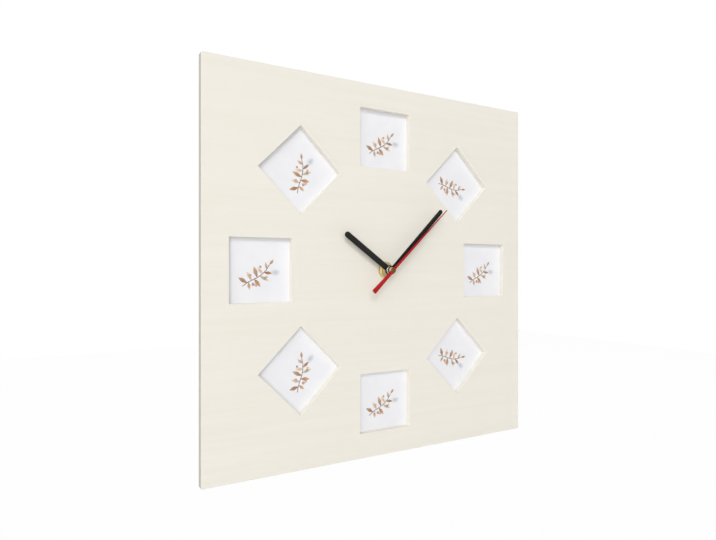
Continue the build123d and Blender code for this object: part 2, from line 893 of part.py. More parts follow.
def make_third_wheel():
    """Third wheel, driven by the seconds pinion, with the pinion that drives the minute wheel."""
    wheel = gear(
        third_axis, third_teeth, third_module, third_direction + 180,
        third_level, wheel_thickness,
    )
    pinion_level = minute_level - pinion_overhang
    wheel += gear(
        third_axis, third_pinion_teeth, minute_module,
        gap_towards(third_direction + 180, third_pinion_teeth),
        pinion_level, pinion_thickness,
    )
    front_y = level_y(arbor_front_level(pinion_level))
    return wheel + rod(third_axis, arbor_radius, level_y(arbor_rear_level()), front_y)


def make_minute_wheel():
    """Minute wheel, a friction fit on the minute pipe."""
    wheel = gear(centre_axis, minute_teeth, minute_module, third_direction, minute_level, wheel_thickness)
    return wheel - rod(
        centre_axis, minute_pipe_radius + pivot_gap,
        level_y(minute_level + wheel_thickness) + cut_overrun, level_y(minute_level) - cut_overrun,
    )


def make_minute_pipe():
    """Minute pipe with its pinion, from the minute wheel to the minute hand."""
    pipe = rod(
        centre_axis, minute_pipe_radius,
        level_y(minute_level + wheel_thickness + pinion_overhang), minute_pipe_front_y(),
    )
    pipe += gear(
        centre_axis, cannon_teeth, motion_module, motion_direction,
        motion_level, cannon_pinion_thickness,
    )
    return pipe - rod(
        centre_axis, seconds_arbor_radius + pivot_gap,
        level_y(third_level), minute_pipe_front_y() - cut_overrun,
    )


def make_motion_wheel():
    """Motion wheel, driven by the minute pipe, with the pinion that drives the hour wheel."""
    towards_centre = motion_direction + 180
    wheel = gear(
        motion_axis, motion_teeth, motion_module, gap_towards(towards_centre, motion_teeth),
        motion_level, cannon_pinion_thickness,
    )
    wheel += gear(
        motion_axis, motion_pinion_teeth, hour_module, gap_towards(towards_centre, motion_pinion_teeth),
        hour_level - pinion_overhang, motion_level - hour_level + pinion_overhang,
    )
    return wheel - rod(
        motion_axis, motion_post_radius + pivot_gap,
        level_y(motion_level + cannon_pinion_thickness) + cut_overrun, case_front_y,
    )


def make_hour_wheel():
    """Hour wheel on its pipe, which turns in the bushing and carries the hour hand."""
    wheel = gear(centre_axis, hour_teeth, hour_module, motion_direction, hour_level, wheel_thickness)
    wheel += rod(centre_axis, hour_pipe_radius, level_y(hour_level + wheel_thickness), hour_pipe_front_y())
    return wheel - rod(
        centre_axis, minute_pipe_radius + pivot_gap,
        level_y(hour_level + wheel_thickness) + cut_overrun, hour_pipe_front_y() - cut_overrun,
    )


def knob_tooth_direction():
    """Return a tooth direction that puts the knob's pinion in mesh with the motion wheel."""
    pitch = 360 / motion_teeth
    off_gap = (knob_direction - gap_towards(motion_direction + 180, motion_teeth)) % pitch
    turned_on = off_gap / pitch * 360 / knob_teeth
    return gap_towards(knob_direction + 180, knob_teeth) + turned_on


def make_setting_knob():
    """Setting knob in the rear cover, with its shaft and the pinion at the motion wheel."""
    rear_y = -knob_rear_gap
    outline = Circle(knob_radius)
    for index in range(knob_grip_count):
        place = polar(knob_radius, 360 * index / knob_grip_count)
        outline -= Pos(*place) * Circle(knob_grip_radius)
    knob = slab(Pos(*knob_axis) * outline, rear_y, rear_y - knob_thickness)
    knob += rod(knob_axis, knob_shaft_radius, rear_y - knob_thickness, bay_floor_y + end_shake)
    knob += gear(
        knob_axis, knob_teeth, motion_module, knob_tooth_direction(),
        motion_level, cannon_pinion_thickness,
    )
    return knob


def hour_pipe_front_y():
    """Return the Y of the hour pipe's end, flush with the hour hand's collar."""
    return panel_front_y - hour_hand_height - hand_sheet - collar_above


def minute_pipe_front_y():
    """Return the Y of the minute pipe's end, flush with the minute hand's collar."""
    return panel_front_y - minute_hand_height - hand_sheet - collar_above


def second_boss_front_y():
    """Return the Y of the front of the second hand's boss."""
    return panel_front_y - second_hand_height - hand_sheet - second_boss_above


def seconds_arbor_front_y():
    """Return the Y of the seconds arbor's end, inside the second hand's boss."""
    return second_boss_front_y() + second_boss_cap


def baton(length, width, hub_radius):
    """Return the outline of a straight round-ended hand that points to twelve."""
    straight = length - width / 2
    bar = Pos(0, straight / 2) * Rotation(0, 0, 90) * SlotCenterToCenter(straight, width)
    return bar + Circle(hub_radius)


def make_hand(height, angle, outline, pipe_radius, collar_wall):
    """Return a sheet hand with the collar that seats it on its pipe."""
    rear_y = panel_front_y - height
    collar_rear_y = rear_y + collar_below
    collar_front_y = rear_y - hand_sheet - collar_above
    hand = slab(clock_turn(angle) * outline, rear_y, rear_y - hand_sheet)
    hand += rod(centre_axis, pipe_radius + collar_wall, collar_rear_y, collar_front_y)
    return hand - rod(centre_axis, pipe_radius, collar_rear_y + cut_overrun, collar_front_y - cut_overrun)


def make_hour_hand():
    """Black hour hand."""
    outline = baton(hour_hand_length, hour_hand_width, hour_hub_radius)
    return make_hand(hour_hand_height, hour_hand_angle, outline, hour_pipe_radius, hour_collar_wall)


def make_minute_hand():
    """Black minute hand."""
    outline = baton(minute_hand_length, minute_hand_width, minute_hub_radius)
    return make_hand(minute_hand_height, minute_hand_angle, outline, minute_pipe_radius, minute_collar_wall)


def make_second_hand():
    """Red second hand: a tapered needle, a paddle tail, a boss on the arbor and a cap in front."""
    needle = Polygon(
        (-second_root_width / 2, 0),
        (second_root_width / 2, 0),
        (second_tip_width / 2, second_hand_length),
        (-second_tip_width / 2, second_hand_length),
        align=None,
    )
    tail = Polygon(
        (-second_tail_root_width / 2, 0),
        (-second_tail_end_width / 2, -second_tail_length),
        (second_tail_end_width / 2, -second_tail_length),
        (second_tail_root_width / 2, 0),
        align=None,
    )
    tail = fillet(tail.vertices().sort_by(Axis.Y)[:2], second_tail_corner)
    outline = needle + tail + Circle(second_hub_radius)
    rear_y = panel_front_y - second_hand_height
    hand = slab(clock_turn(second_hand_angle) * outline, rear_y, rear_y - hand_sheet)
    hand += rod(centre_axis, second_boss_radius, rear_y + second_boss_below, rear_y)
    hand += rod(centre_axis, second_cap_radius, rear_y, second_boss_front_y())
    return hand - rod(
        centre_axis, seconds_arbor_radius,
        rear_y + second_boss_below + cut_overrun, seconds_arbor_front_y(),
    )


def all_parts():
    """Return every node's name with its shape."""
    parts = {"front_panel": make_front_panel()}
    for name, angle in zip(window_names, ring_angles):
        parts[f"photo_card_{name}"] = make_photo_card(angle)
        parts[f"backing_{name}"] = make_backing(angle)
        parts[f"turn_button_{name}_1"] = make_turn_button(angle, -1)
        parts[f"turn_button_{name}_2"] = make_turn_button(angle, 1)
    parts["turn_button_screws"] = make_turn_button_screws()
    parts["movement_case"] = make_movement_case()
    parts["rear_cover"] = make_rear_cover()
    parts["threaded_bushing"] = make_threaded_bushing()
    parts["hex_nut"] = make_nut()
    parts["dial_washer"] = make_dial_washer()
    parts["rubber_washer"] = make_rubber_washer()
    parts["wall_hanger"] = make_wall_hanger()
    parts["battery"] = make_battery()
    parts["positive_contact"] = make_positive_contact()
    parts["negative_contact"] = make_negative_contact()
    parts["circuit_board"] = make_circuit_board()
    parts["motor_coil"] = make_motor_coil()
    parts["stator"] = make_stator()
    parts["bridge_plate"] = make_bridge()
    parts["rotor"] = make_rotor()
    parts["intermediate_wheel"] = make_intermediate_wheel()
    parts["seconds_wheel"] = make_seconds_wheel()
    parts["third_wheel"] = make_third_wheel()
    parts["minute_wheel"] = make_minute_wheel()
    parts["minute_pipe"] = make_minute_pipe()
    parts["motion_wheel"] = make_motion_wheel()
    parts["hour_wheel"] = make_hour_wheel()
    parts["setting_knob"] = make_setting_knob()
    parts["hour_hand"] = make_hour_hand()
    parts["minute_hand"] = make_minute_hand()
    parts["second_hand"] = make_second_hand()
    return parts


os.makedirs("parts", exist_ok=True)
for node, shape in all_parts().items():
    export_step(shape, f"parts/{node}.step")
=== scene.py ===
import logging
import math
from collections.abc import Callable, Iterator, Sequence
from contextlib import contextmanager
from dataclasses import dataclass
from enum import Enum
from functools import cache

import bmesh
import bpy
from mathutils import Matrix, Vector


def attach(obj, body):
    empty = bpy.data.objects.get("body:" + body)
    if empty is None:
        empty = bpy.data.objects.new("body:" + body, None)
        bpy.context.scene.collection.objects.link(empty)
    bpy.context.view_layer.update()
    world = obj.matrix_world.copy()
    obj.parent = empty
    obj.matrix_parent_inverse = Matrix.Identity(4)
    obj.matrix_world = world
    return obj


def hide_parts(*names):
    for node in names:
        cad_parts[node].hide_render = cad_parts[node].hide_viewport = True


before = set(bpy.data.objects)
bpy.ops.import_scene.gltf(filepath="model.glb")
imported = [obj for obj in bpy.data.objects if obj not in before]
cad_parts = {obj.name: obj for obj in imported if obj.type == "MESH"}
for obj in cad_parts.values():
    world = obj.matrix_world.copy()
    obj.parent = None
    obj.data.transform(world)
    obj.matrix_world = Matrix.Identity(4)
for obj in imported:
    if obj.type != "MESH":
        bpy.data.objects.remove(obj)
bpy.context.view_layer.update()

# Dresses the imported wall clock: modelled pieces, finishes, studio light and camera.
# Blender works in metres. Sizes here are in millimetres, as in the solids.

MM = 0.001
LOG = logging.getLogger("wall_clock")

Point = tuple[float, float]
Corner = tuple[float, float, float]
Piece = bpy.types.Object
Tree = bpy.types.NodeTree
Source = bpy.types.Node | bpy.types.NodeSocket
Test = Callable[[Sequence[Vector]], bool]

# Shared places, as in the solids
PANEL_FRONT = -23.8
PANEL_REAR = -17.8
REBATE_FLOOR = -18.8
CARD_REAR = -18.45
BACKING_REAR = -16.85
CASE_FRONT = -16.0
FLANGE_FRONT = -15.3
BAY_FLOOR = -14.6
COVER_FRONT = -1.6
CENTRE: Point = (0.0, 0.0)
RING_RADIUS = 106.6
BUTTON_PIVOT = 32.7
NECK_RADIUS = 4.0
WINDOW_SIDE = 47.398
WINDOW_STEP = 45
WINDOWS = (
    "top", "upper_right", "right", "lower_right",
    "bottom", "lower_left", "left", "upper_left",
)

# How far a cutter passes the face that it opens, and how far where there is little room
CUT_OVERRUN = 1.0
SHORT_OVERRUN = 0.1
# How near a point has to be to count as there, and what is welded, a sliver or one point
NEAR = 0.01
WELD = 0.002
SLIVER = 0.001
TOUCH = 0.0005
# Steps round a full turn by the size of the piece, steps of a flat corner, and the angle that stays sharp
ROUND = 96
SMALL_ROUND = 48
PIN_ROUND = 32
CORNER_STEPS = 8
SHARP_ANGLE = 35.0


def mm(*values: float) -> tuple[float, ...]:
    """Turn millimetres into metres."""
    return tuple(value * MM for value in values)


def linear(colour: str) -> tuple[float, float, float, float]:
    """Turn six hex digits of sRGB into the linear colour, with an alpha of one, that the shaders use."""
    parts = [int(colour[start:start + 2], 16) / 255 for start in (0, 2, 4)]
    curve = [part / 12.92 if part <= 0.04045 else ((part + 0.055) / 1.055) ** 2.4 for part in parts]
    return (*curve, 1.0)


def scale_for(size: float) -> float:
    """Return the texture scale that makes one feature as long as a size in millimetres."""
    return 1 / (size * MM)


def polar(distance: float, direction: float) -> Point:
    """Return the step (x, z) that goes a distance in a direction, in degrees clockwise from twelve."""
    angle = math.radians(direction)
    return (distance * math.sin(angle), distance * math.cos(angle))


class Body(Enum):
    """The bodies of the mechanism that pieces ride on."""

    FRAME = "clock_frame"
    HOURS = "hours"
    MINUTES = "minutes"
    SECONDS = "seconds"
    KNOB = "knob"


class Slot(Enum):
    """The record's material slots."""

    PLYWOOD = "plywood"
    CARD = "photo_card"
    HARDBOARD = "hardboard"
    STEEL = "plated_steel"
    CASE = "case_plastic"
    BRASS = "brass"
    RUBBER = "rubber"
    HAND_BLACK = "hand_black"
    HAND_RED = "hand_red"
    JACKET = "cell_jacket"
    GEAR = "gear_plastic"
    BOARD = "circuit_board"
    WIRE = "coil_wire"
    CORE = "electrical_steel"


# Finishes


def add(tree: Tree, kind: str, inputs: dict | None = None, **settings) -> bpy.types.Node:
    """Add a shader node, set its properties and fill or link its inputs.

    Args:
        tree: The node tree that gets the node.
        kind: The node's type name, after the ShaderNode that they all start with.
        inputs: By the input's name or index: a value, a hex colour, an output socket, or a node,
            which stands for its first output.
        **settings: Properties of the node itself.

    Returns:
        The new node.
    """
    node = tree.nodes.new(f"ShaderNode{kind}")
    for key, value in settings.items():
        setattr(node, key, value)
    for key, value in (inputs or {}).items():
        if isinstance(value, bpy.types.Node):
            value = value.outputs[0]
        if isinstance(value, bpy.types.NodeSocket):
            tree.links.new(value, node.inputs[key])
        else:
            node.inputs[key].default_value = linear(value) if isinstance(value, str) else value
    return node


def empty_tree(holder: bpy.types.Material | bpy.types.World) -> Tree:
    """Give a material or a world an empty node tree."""
    holder.use_nodes = True
    holder.node_tree.nodes.clear()
    return holder.node_tree


@dataclass(frozen=True)
class Finish:
    """A finish with two close tones, soft blotches between them and a fine surface.

    The blotches keep a large face from looking like one flat colour.
    """

    name: str
    slot: Slot
    light: str
    dark: str
    roughness: float = 0.5
    roughness_spread: float = 0.08
    metallic: float = 0.0
    ior: float = 1.5
    blotch: float = 12.0
    grit: float = 0.4
    grit_height: float = 0.01
    stretch: Corner = (1.0, 1.0, 1.0)
    coat: float = 0.0
    coat_roughness: float = 0.12
    specular: float = 0.5

    def make(self) -> bpy.types.Material:
        """Build the material, with its nodes linked to the output."""
        material = bpy.data.materials.new(self.name)
        tree = empty_tree(material)
        colour, fine, height = self.pattern(tree, add(tree, "TexCoord").outputs["Object"])
        rough = add(tree, "MapRange", {
            "Value": fine, "From Min": 0.3, "From Max": 0.7,
            "To Min": self.roughness - self.roughness_spread,
            "To Max": self.roughness + self.roughness_spread,
        })
        bump = add(tree, "Bump", {"Strength": 1.0, "Distance": self.grit_height * MM, "Height": height})
        shader = add(tree, "BsdfPrincipled", {
            "Base Color": colour, "Roughness": rough, "Metallic": self.metallic, "IOR": self.ior,
            "Coat Weight": self.coat, "Coat Roughness": self.coat_roughness,
            "Specular IOR Level": self.specular, "Normal": bump,
        })
        add(tree, "OutputMaterial", {"Surface": shader})
        material.diffuse_color = linear(self.light)
        return material

    def pattern(self, tree: Tree, place: Source) -> tuple[Source, Source, Source]:
        """Build what varies over the surface.

        Args:
            tree: The material's node tree.
            place: The point on the object, in metres.

        Returns:
            The colour, the fine pattern that the roughness follows, and the height.
        """
        stretched = add(tree, "Mapping", {"Vector": place, "Scale": self.stretch})
        cloud = add(tree, "TexNoise", {
            "Vector": stretched, "Scale": scale_for(self.blotch), "Detail": 4.0, "Roughness": 0.55,
        })
        grains = add(tree, "TexNoise", {"Vector": stretched, "Scale": scale_for(self.grit), "Detail": 3.0})
        tone = add(tree, "MapRange", {"Value": cloud, "From Min": 0.35, "From Max": 0.65})
        colour = add(tree, "Mix", {0: tone, 6: self.dark, 7: self.light}, data_type="RGBA")
        return colour.outputs[2], grains, grains


@dataclass(frozen=True)
class Plywood(Finish):
    """Sanded poplar plywood, five plies: pale faces with faint level grain, cut edges with darker glue lines,
    and outer edges painted darker as shade.
    """

    early: str = "F3EFE4"
    late: str = "F1ECE0"
    streak: str = "ECE6D8"
    edge: str = "F9F6EE"
    pore: str = "F1ECE0"
    glue: str = "E6DFD0"
    # Outer edge colours: the outer edges and their glue lines are painted greyer as shade
    shaded_outer_edge: str = "CFCBC0"
    shaded_outer_glue: str = "A59E8E"
    ply: float = 1.2
    grain_width: float = 2.4
    grain_length: float = 90.0
    cloud_size: float = 110.0
    pore_size: float = 0.5
    outer: float = 149.4
    edge_margin: float = 0.2

    def pattern(self, tree: Tree, place: Source) -> tuple[Source, Source, Source]:
        """Level grain on the faces, and plies of turned grain with glue lines on the edges."""
        along = self.grain_width / self.grain_length
        level = add(tree, "Mapping", {"Vector": place, "Scale": (along, 1.0, 1.0)})
        upright = add(tree, "Mapping", {"Vector": place, "Scale": (1.0, 1.0, along)})
        split = add(tree, "SeparateXYZ", {"Vector": place})
        made: dict[str, Source] = {axis: split.outputs[axis] for axis in "XYZ"}
        for name, vector, size, detail, roughness, distortion in (
            ("bands", level, self.grain_width * 3, 5.0, 0.6, 0.6),
            ("fibres", level, self.grain_width / 4, 4.0, 0.7, 0.0),
            ("cloud", place, self.cloud_size, 2.0, 0.5, 0.0),
            ("pores", upright, self.pore_size, 4.0, 0.5, 0.0),
        ):
            made[name] = add(tree, "TexNoise", {
                "Vector": vector, "Scale": scale_for(size), "Detail": detail, "Roughness": roughness,
                "Distortion": distortion,
            })

        # Depth from the front face counts the plies, and every second one has its grain turned upright
        made["depth"] = add(tree, "MapRange", {
            "Value": made["Y"], "From Min": PANEL_FRONT * MM, "From Max": (PANEL_FRONT + self.ply) * MM,
        }, clamp=False)
        for name, operation, *values in (
            ("within", "FRACT", "depth"), ("middle", "SUBTRACT", "within", 0.5),
            ("off_middle", "ABSOLUTE", "middle"), ("half_depth", "MULTIPLY", "depth", 0.5),
            ("pair", "FRACT", "half_depth"), ("turned", "GREATER_THAN", "pair", 0.5),
            ("across", "ABSOLUTE", "X"), ("up", "ABSOLUTE", "Z"), ("most", "MAXIMUM", "across", "up"),
            ("outside", "GREATER_THAN", "most", self.outer * MM),
            # Share of painted shade on the outer edges
            ("outer_shade_share", "MULTIPLY", "outside", 0.85),
            ("behind_front", "GREATER_THAN", "Y", (PANEL_FRONT + self.edge_margin) * MM),
            ("before_rear", "LESS_THAN", "Y", (PANEL_REAR - self.edge_margin) * MM),
            ("on_edge", "MULTIPLY", "behind_front", "before_rear"),
        ):
            inputs = {index: made.get(value, value) for index, value in enumerate(values)}
            made[name] = add(tree, "Math", inputs, operation=operation)
        for name, source, low, high, most in (
            ("band_share", "bands", 0.36, 0.66, 1.0), ("streak_share", "fibres", 0.56, 0.78, 0.55),
            ("cloud_share", "cloud", 0.4, 0.7, 0.4), ("glue_share", "off_middle", 0.43, 0.49, 0.75),
            ("pore_share", "pores", 0.3, 0.75, 1.0),
        ):
            made[name] = add(tree, "MapRange", {
                "Value": made[source], "From Min": low, "From Max": high, "To Max": most,
            })

        # The window edges keep the pale cut colour, and the outer edges and their glue lines are painted
        # greyer as shade
        for name, share, low, high in (
            ("face", "band_share", self.early, self.late), ("face", "streak_share", "face", self.streak),
            ("face", "cloud_share", "face", self.late), ("end_grain", "pore_share", self.edge, self.pore),
            ("side_grain", "band_share", self.pore, self.edge), ("cut", "turned", "side_grain", "end_grain"),
            ("cut", "glue_share", "cut", self.glue), ("shaded_outer_cut", "glue_share", self.shaded_outer_edge, self.shaded_outer_glue),
            ("cut", "outer_shade_share", "cut", "shaded_outer_cut"), ("all", "on_edge", "face", "cut"),
        ):
            mix = add(tree, "Mix", {
                0: made[share], 6: made.get(low, low), 7: made.get(high, high),
            }, data_type="RGBA")
            made[name] = mix.outputs[2]
        return made["all"], made["fibres"], made["fibres"]


@dataclass(frozen=True)
class Ink(Finish):
    """Printed ink on satin photo paper, with its colours in the mesh and a faint paper mottle."""

    attribute: str = "Ink"
    wash_size: float = 1.6

    def pattern(self, tree: Tree, place: Source) -> tuple[Source, Source, Source]:
        """Take the colour from the mesh and let a faint mottle through."""
        base, fine, height = super().pattern(tree, place)
        ink = add(tree, "Attribute", attribute_name=self.attribute)
        wash = add(tree, "TexNoise", {"Vector": place, "Scale": scale_for(self.wash_size), "Detail": 4.0})
        share = add(tree, "MapRange", {"Value": wash, "From Min": 0.5, "From Max": 0.85, "To Max": 0.35})
        colour = add(tree, "Mix", {0: share, 6: ink.outputs["Color"], 7: base}, data_type="RGBA")
        return colour.outputs[2], fine, height


@dataclass(frozen=True)
class ScreenedHardboard(Finish):
    """Pressed brown hardboard with flecks of fibre and the screen's print on its back."""

    mesh: float = 1.3
    fleck: str = "B58A5C"
    fleck_size: float = 1.1

    def pattern(self, tree: Tree, place: Source) -> tuple[Source, Source, Source]:
        """Fibre flecks over the blotches, and a woven screen pressed into the surface."""
        base, fine, _ = super().pattern(tree, place)
        flecks = add(tree, "TexVoronoi", {"Vector": place, "Scale": scale_for(self.fleck_size)})
        share = add(tree, "MapRange", {
            "Value": flecks.outputs["Distance"], "From Min": 0.08, "From Max": 0.3,
            "To Min": 0.45, "To Max": 0.0,
        })
        colour = add(tree, "Mix", {0: share, 6: base, 7: self.fleck}, data_type="RGBA")
        split = add(tree, "SeparateXYZ", {"Vector": place})
        waves = []
        for axis in "XZ":
            turns = {0: split.outputs[axis], 1: scale_for(self.mesh) * 2 * math.pi}
            phase = add(tree, "Math", turns, operation="MULTIPLY")
            waves.append(add(tree, "Math", {0: phase}, operation="SINE"))
        return colour.outputs[2], fine, add(tree, "Math", dict(enumerate(waves)), operation="MULTIPLY")


@dataclass(frozen=True)
class BandedSleeve(Finish):
    """Shrunk plastic sleeve of a cell: a dark body, a pale band and a coloured plus end."""

    band: str = "D9DEE2"
    plus_end: str = "C96A2B"
    plus_end_x: float = -15.0
    band_end_x: float = -13.2

    def pattern(self, tree: Tree, place: Source) -> tuple[Source, Source, Source]:
        """Change colour along the cell, at two hard lines."""
        colour, fine, height = super().pattern(tree, place)
        across = add(tree, "SeparateXYZ", {"Vector": place}).outputs["X"]
        for limit, paint in ((self.band_end_x, self.band), (self.plus_end_x, self.plus_end)):
            share = add(tree, "Math", {0: across, 1: limit * MM}, operation="LESS_THAN")
            colour = add(tree, "Mix", {0: share, 6: colour, 7: paint}, data_type="RGBA").outputs[2]
        return colour, fine, height


@dataclass(frozen=True)
class WoundWire(Finish):
    """Fine enamelled copper wire, wound in close turns across X."""

    wire: float = 0.3

    def pattern(self, tree: Tree, place: Source) -> tuple[Source, Source, Source]:
        """Round each turn of the wire. The real wire is under 0.1 mm and is drawn coarser to show."""
        colour, fine, _ = super().pattern(tree, place)
        across = add(tree, "SeparateXYZ", {"Vector": place}).outputs["X"]
        phase = add(tree, "Math", {0: across, 1: scale_for(self.wire) * math.pi}, operation="MULTIPLY")
        wave = add(tree, "Math", {0: phase}, operation="SINE")
        return colour, fine, add(tree, "Math", {0: wave}, operation="ABSOLUTE")


class Look(Enum):
    """Every finish of the clock."""

    # Sanded raw face veneer: matt and pale, with a little fibre to catch the light
    PLYWOOD = Plywood(
        "sanded_poplar_plywood", Slot.PLYWOOD, "F3EFE4", "F1ECE0", roughness=0.62, grit_height=0.03,
        specular=0.35,
    )
    # Satin inkjet card: a neutral white with a soft sheen
    PAPER = Finish(
        "satin_photo_paper", Slot.CARD, "F3F3F6", "EFEFF3", roughness=0.42, blotch=18.0, grit=0.25,
        grit_height=0.004,
    )
    # Pigment ink on the same card: soft colours with the card's sheen
    INK = Ink(
        "pigment_ink_on_paper", Slot.CARD, "F3F3F6", "EFEFF3", roughness=0.42, grit=0.25,
        grit_height=0.004,
    )
    # Wet-process hardboard: brown, waxy, with a screen pattern on the back
    HARDBOARD = ScreenedHardboard(
        "screened_hardboard", Slot.HARDBOARD, "7A5536", "5F4029", roughness=0.68, blotch=9.0,
        grit_height=0.06,
    )
    # Bright zinc plating over stamped steel: cloudy grey with a cold tint
    ZINC = Finish(
        "zinc_plated_steel", Slot.STEEL, "C9CBCB", "A9ACAE", roughness=0.34, metallic=1.0, blotch=3.0,
        grit=0.35, grit_height=0.008,
    )
    # Drawn nickel-plated steel of the cell's ends and contacts: bright, with fine draw marks
    NICKEL = Finish(
        "nickel_plated_steel", Slot.STEEL, "D8D4CC", "BDB9B0", roughness=0.24, metallic=1.0, blotch=5.0,
        grit=0.2, grit_height=0.004, stretch=(0.2, 1.0, 1.0),
    )
    # Moulded ABS with a spark-eroded texture: soft black with broad highlights
    ABS = Finish(
        "moulded_black_abs", Slot.CASE, "2B2B2D", "232325", roughness=0.46, blotch=14.0, grit=0.35,
        grit_height=0.025,
    )
    # Turned brass, bright but handled: warm yellow with slight tarnish in the blotches
    BRASS = Finish(
        "turned_brass", Slot.BRASS, "E6D8AE", "CFBE90", roughness=0.42, metallic=1.0, blotch=2.5, grit=0.3,
        grit_height=0.006,
    )
    # Turned brass of the second hand's boss, painted darker than the nut as shade
    SHADED_BRASS = Finish(
        "shade_darkened_turned_brass", Slot.BRASS, "7A6432", "4E4020", roughness=0.32, metallic=1.0, blotch=1.2,
        grit=0.2, grit_height=0.004,
    )
    # Spun aluminium collar: bright and nearly white
    ALUMINIUM = Finish(
        "turned_aluminium", Slot.STEEL, "F1F1EE", "DADAD6", roughness=0.28, metallic=1.0, blotch=1.5,
        grit=0.2, grit_height=0.004,
    )
    # Nitrile rubber: dull black with a faint bloom
    RUBBER = Finish(
        "black_nitrile_rubber", Slot.RUBBER, "262626", "1C1C1C", roughness=0.78, blotch=6.0, grit=0.3,
        grit_height=0.02,
    )
    # Stoved satin enamel on thin aluminium hands: a warm black with a faint orange peel
    BLACK_ENAMEL = Finish(
        "satin_black_enamel", Slot.HAND_BLACK, "151310", "0F0E0C", roughness=0.42, blotch=6.0, grit=0.5,
        grit_height=0.008, specular=0.25,
    )
    # The same enamel in signal red, a little glossier
    RED_ENAMEL = Finish(
        "satin_red_enamel", Slot.HAND_RED, "BE1C22", "AA161A", roughness=0.4, blotch=6.0, grit=0.5,
        grit_height=0.008, specular=0.2,
    )
    # Printed heat-shrink sleeve: glossy, with a plain colour band and no words
    SLEEVE = BandedSleeve(
        "shrunk_pvc_sleeve", Slot.JACKET, "2A3F63", "243757", roughness=0.22, blotch=10.0, grit=0.6,
        grit_height=0.006, coat=0.4,
    )
    # Moulded acetal gears: milky white and waxy
    ACETAL = Finish(
        "moulded_white_acetal", Slot.GEAR, "F2F1EC", "E8E6DF", roughness=0.4, blotch=4.0, grit=0.3,
        grit_height=0.006,
    )
    # Solder mask over glass laminate
    LAMINATE = Finish(
        "green_solder_mask", Slot.BOARD, "1F5A38", "184B2E", roughness=0.3, blotch=3.0, grit=0.25,
    )
    # Enamelled copper wire in close turns
    WIRE = WoundWire(
        "enamelled_copper_wire", Slot.WIRE, "B5602B", "954A1F", roughness=0.32, metallic=0.6, blotch=2.0,
        grit_height=0.08,
    )
    # Annealed silicon steel: dull grey with a heat tint
    CORE_STEEL = Finish(
        "annealed_silicon_steel", Slot.CORE, "8E9094", "7A7C82", roughness=0.45, metallic=1.0, blotch=4.0,
        grit=0.3, grit_height=0.008,
    )


@cache
def material_for(look: Look) -> bpy.types.Material:
    """Make the material of a finish, once."""
    return look.value.make()


# Modelling steps


def only(piece: Piece) -> None:
    """Select one object and make it active."""
    bpy.ops.object.select_all(action="DESELECT")
    piece.select_set(True)
    bpy.context.view_layer.objects.active = piece


@contextmanager
def editing(piece: Piece, kind: str = "VERT", action: str = "DESELECT") -> Iterator[None]:
    """Open a piece in edit mode and close it again.

    Args:
        piece: The mesh object to edit.
        kind: VERT, EDGE or FACE.
        action: DESELECT to start with nothing selected, or SELECT to start with all of it.
    """
    only(piece)
    bpy.ops.object.mode_set(mode="EDIT")
    bpy.ops.mesh.select_mode(type=kind)
    bpy.ops.mesh.select_all(action=action)
    yield
    bpy.ops.object.mode_set(mode="OBJECT")


def pick(piece: Piece, kind: str, test: Test) -> None:
    """Select what a test accepts, in edit mode.

    Args:
        piece: The mesh object being edited.
        kind: verts, edges or faces.
        test: Gets the corner points of an element in millimetres and says whether it is wanted.
    """
    mesh = bmesh.from_edit_mesh(piece.data)
    for element in getattr(mesh, kind):
        corners = [element] if kind == "verts" else element.verts
        element.select_set(test([corner.co / MM for corner in corners]))
    bmesh.update_edit_mesh(piece.data)


def settle(piece: Piece) -> None:
    """Move a piece's place, turn and scale into its mesh."""
    only(piece)
    bpy.ops.object.transform_apply(location=True, rotation=True, scale=True)


def added() -> Piece:
    """Return the piece that was just added, with its place in its mesh."""
    piece = bpy.context.active_object
    settle(piece)
    return piece


def modify(piece: Piece, kind: str, **settings) -> None:
    """Add a modifier, set it and apply it."""
    only(piece)
    bpy.ops.object.modifier_add(type=kind)
    modifier = piece.modifiers[-1]
    for key, value in settings.items():
        setattr(modifier, key, value)
    bpy.ops.object.modifier_apply(modifier=modifier.name)


def block(one: Corner, other: Corner) -> Piece:
    """Add a box between two opposite corners, in millimetres."""
    size = [abs(last - first) for first, last in zip(one, other)]
    middle = [(first + last) / 2 for first, last in zip(one, other)]
    bpy.ops.mesh.primitive_cube_add(size=1, location=mm(*middle), scale=mm(*size))
    return added()


def ring_block(side: float, rear: float, front: float) -> Piece:
    """Add a square block at the top of the windows' ring."""
    half = side / 2
    return block((-half, front, RING_RADIUS - half), (half, rear, RING_RADIUS + half))


def rod(place: Point, radius: float, rear: float, front: float, sides: int = ROUND) -> Piece:
    """Add a round bar along Y between two planes, in millimetres."""
    bpy.ops.mesh.primitive_cylinder_add(
        vertices=sides, radius=radius * MM, depth=(rear - front) * MM,
        location=mm(place[0], (rear + front) / 2, place[1]), rotation=(math.pi / 2, 0, 0),
    )
    return added()


def round_edges(piece: Piece, radius: float, steps: int, test: Test) -> None:
    """Round the edges that a test accepts, with a radius in millimetres."""
    with editing(piece, "EDGE"):
        pick(piece, "edges", test)
        bpy.ops.mesh.bevel(offset=radius * MM, segments=steps, affect="EDGES")


def round_corners(piece: Piece, radius: float, test: Test) -> None:
    """Round the corners of a flat outline that a test accepts, with a radius in millimetres."""
    with editing(piece):
        pick(piece, "verts", test)
        bpy.ops.mesh.bevel(offset=radius * MM, segments=CORNER_STEPS, affect="VERTICES")


def ease(piece: Piece, radius: float, steps: int = 2, angle: float = 40.0) -> None:
    """Break every sharp edge of a piece, with a radius in millimetres."""
    modify(
        piece, "BEVEL", width=radius * MM, segments=steps, limit_method="ANGLE",
        angle_limit=math.radians(angle), use_clamp_overlap=True,
    )


def join(pieces: Sequence[Piece]) -> Piece:
    """Join pieces into the first one."""
    only(pieces[0])
    for piece in pieces[1:]:
        piece.select_set(True)
    if len(pieces) > 1:
        bpy.ops.object.join()
    return pieces[0]


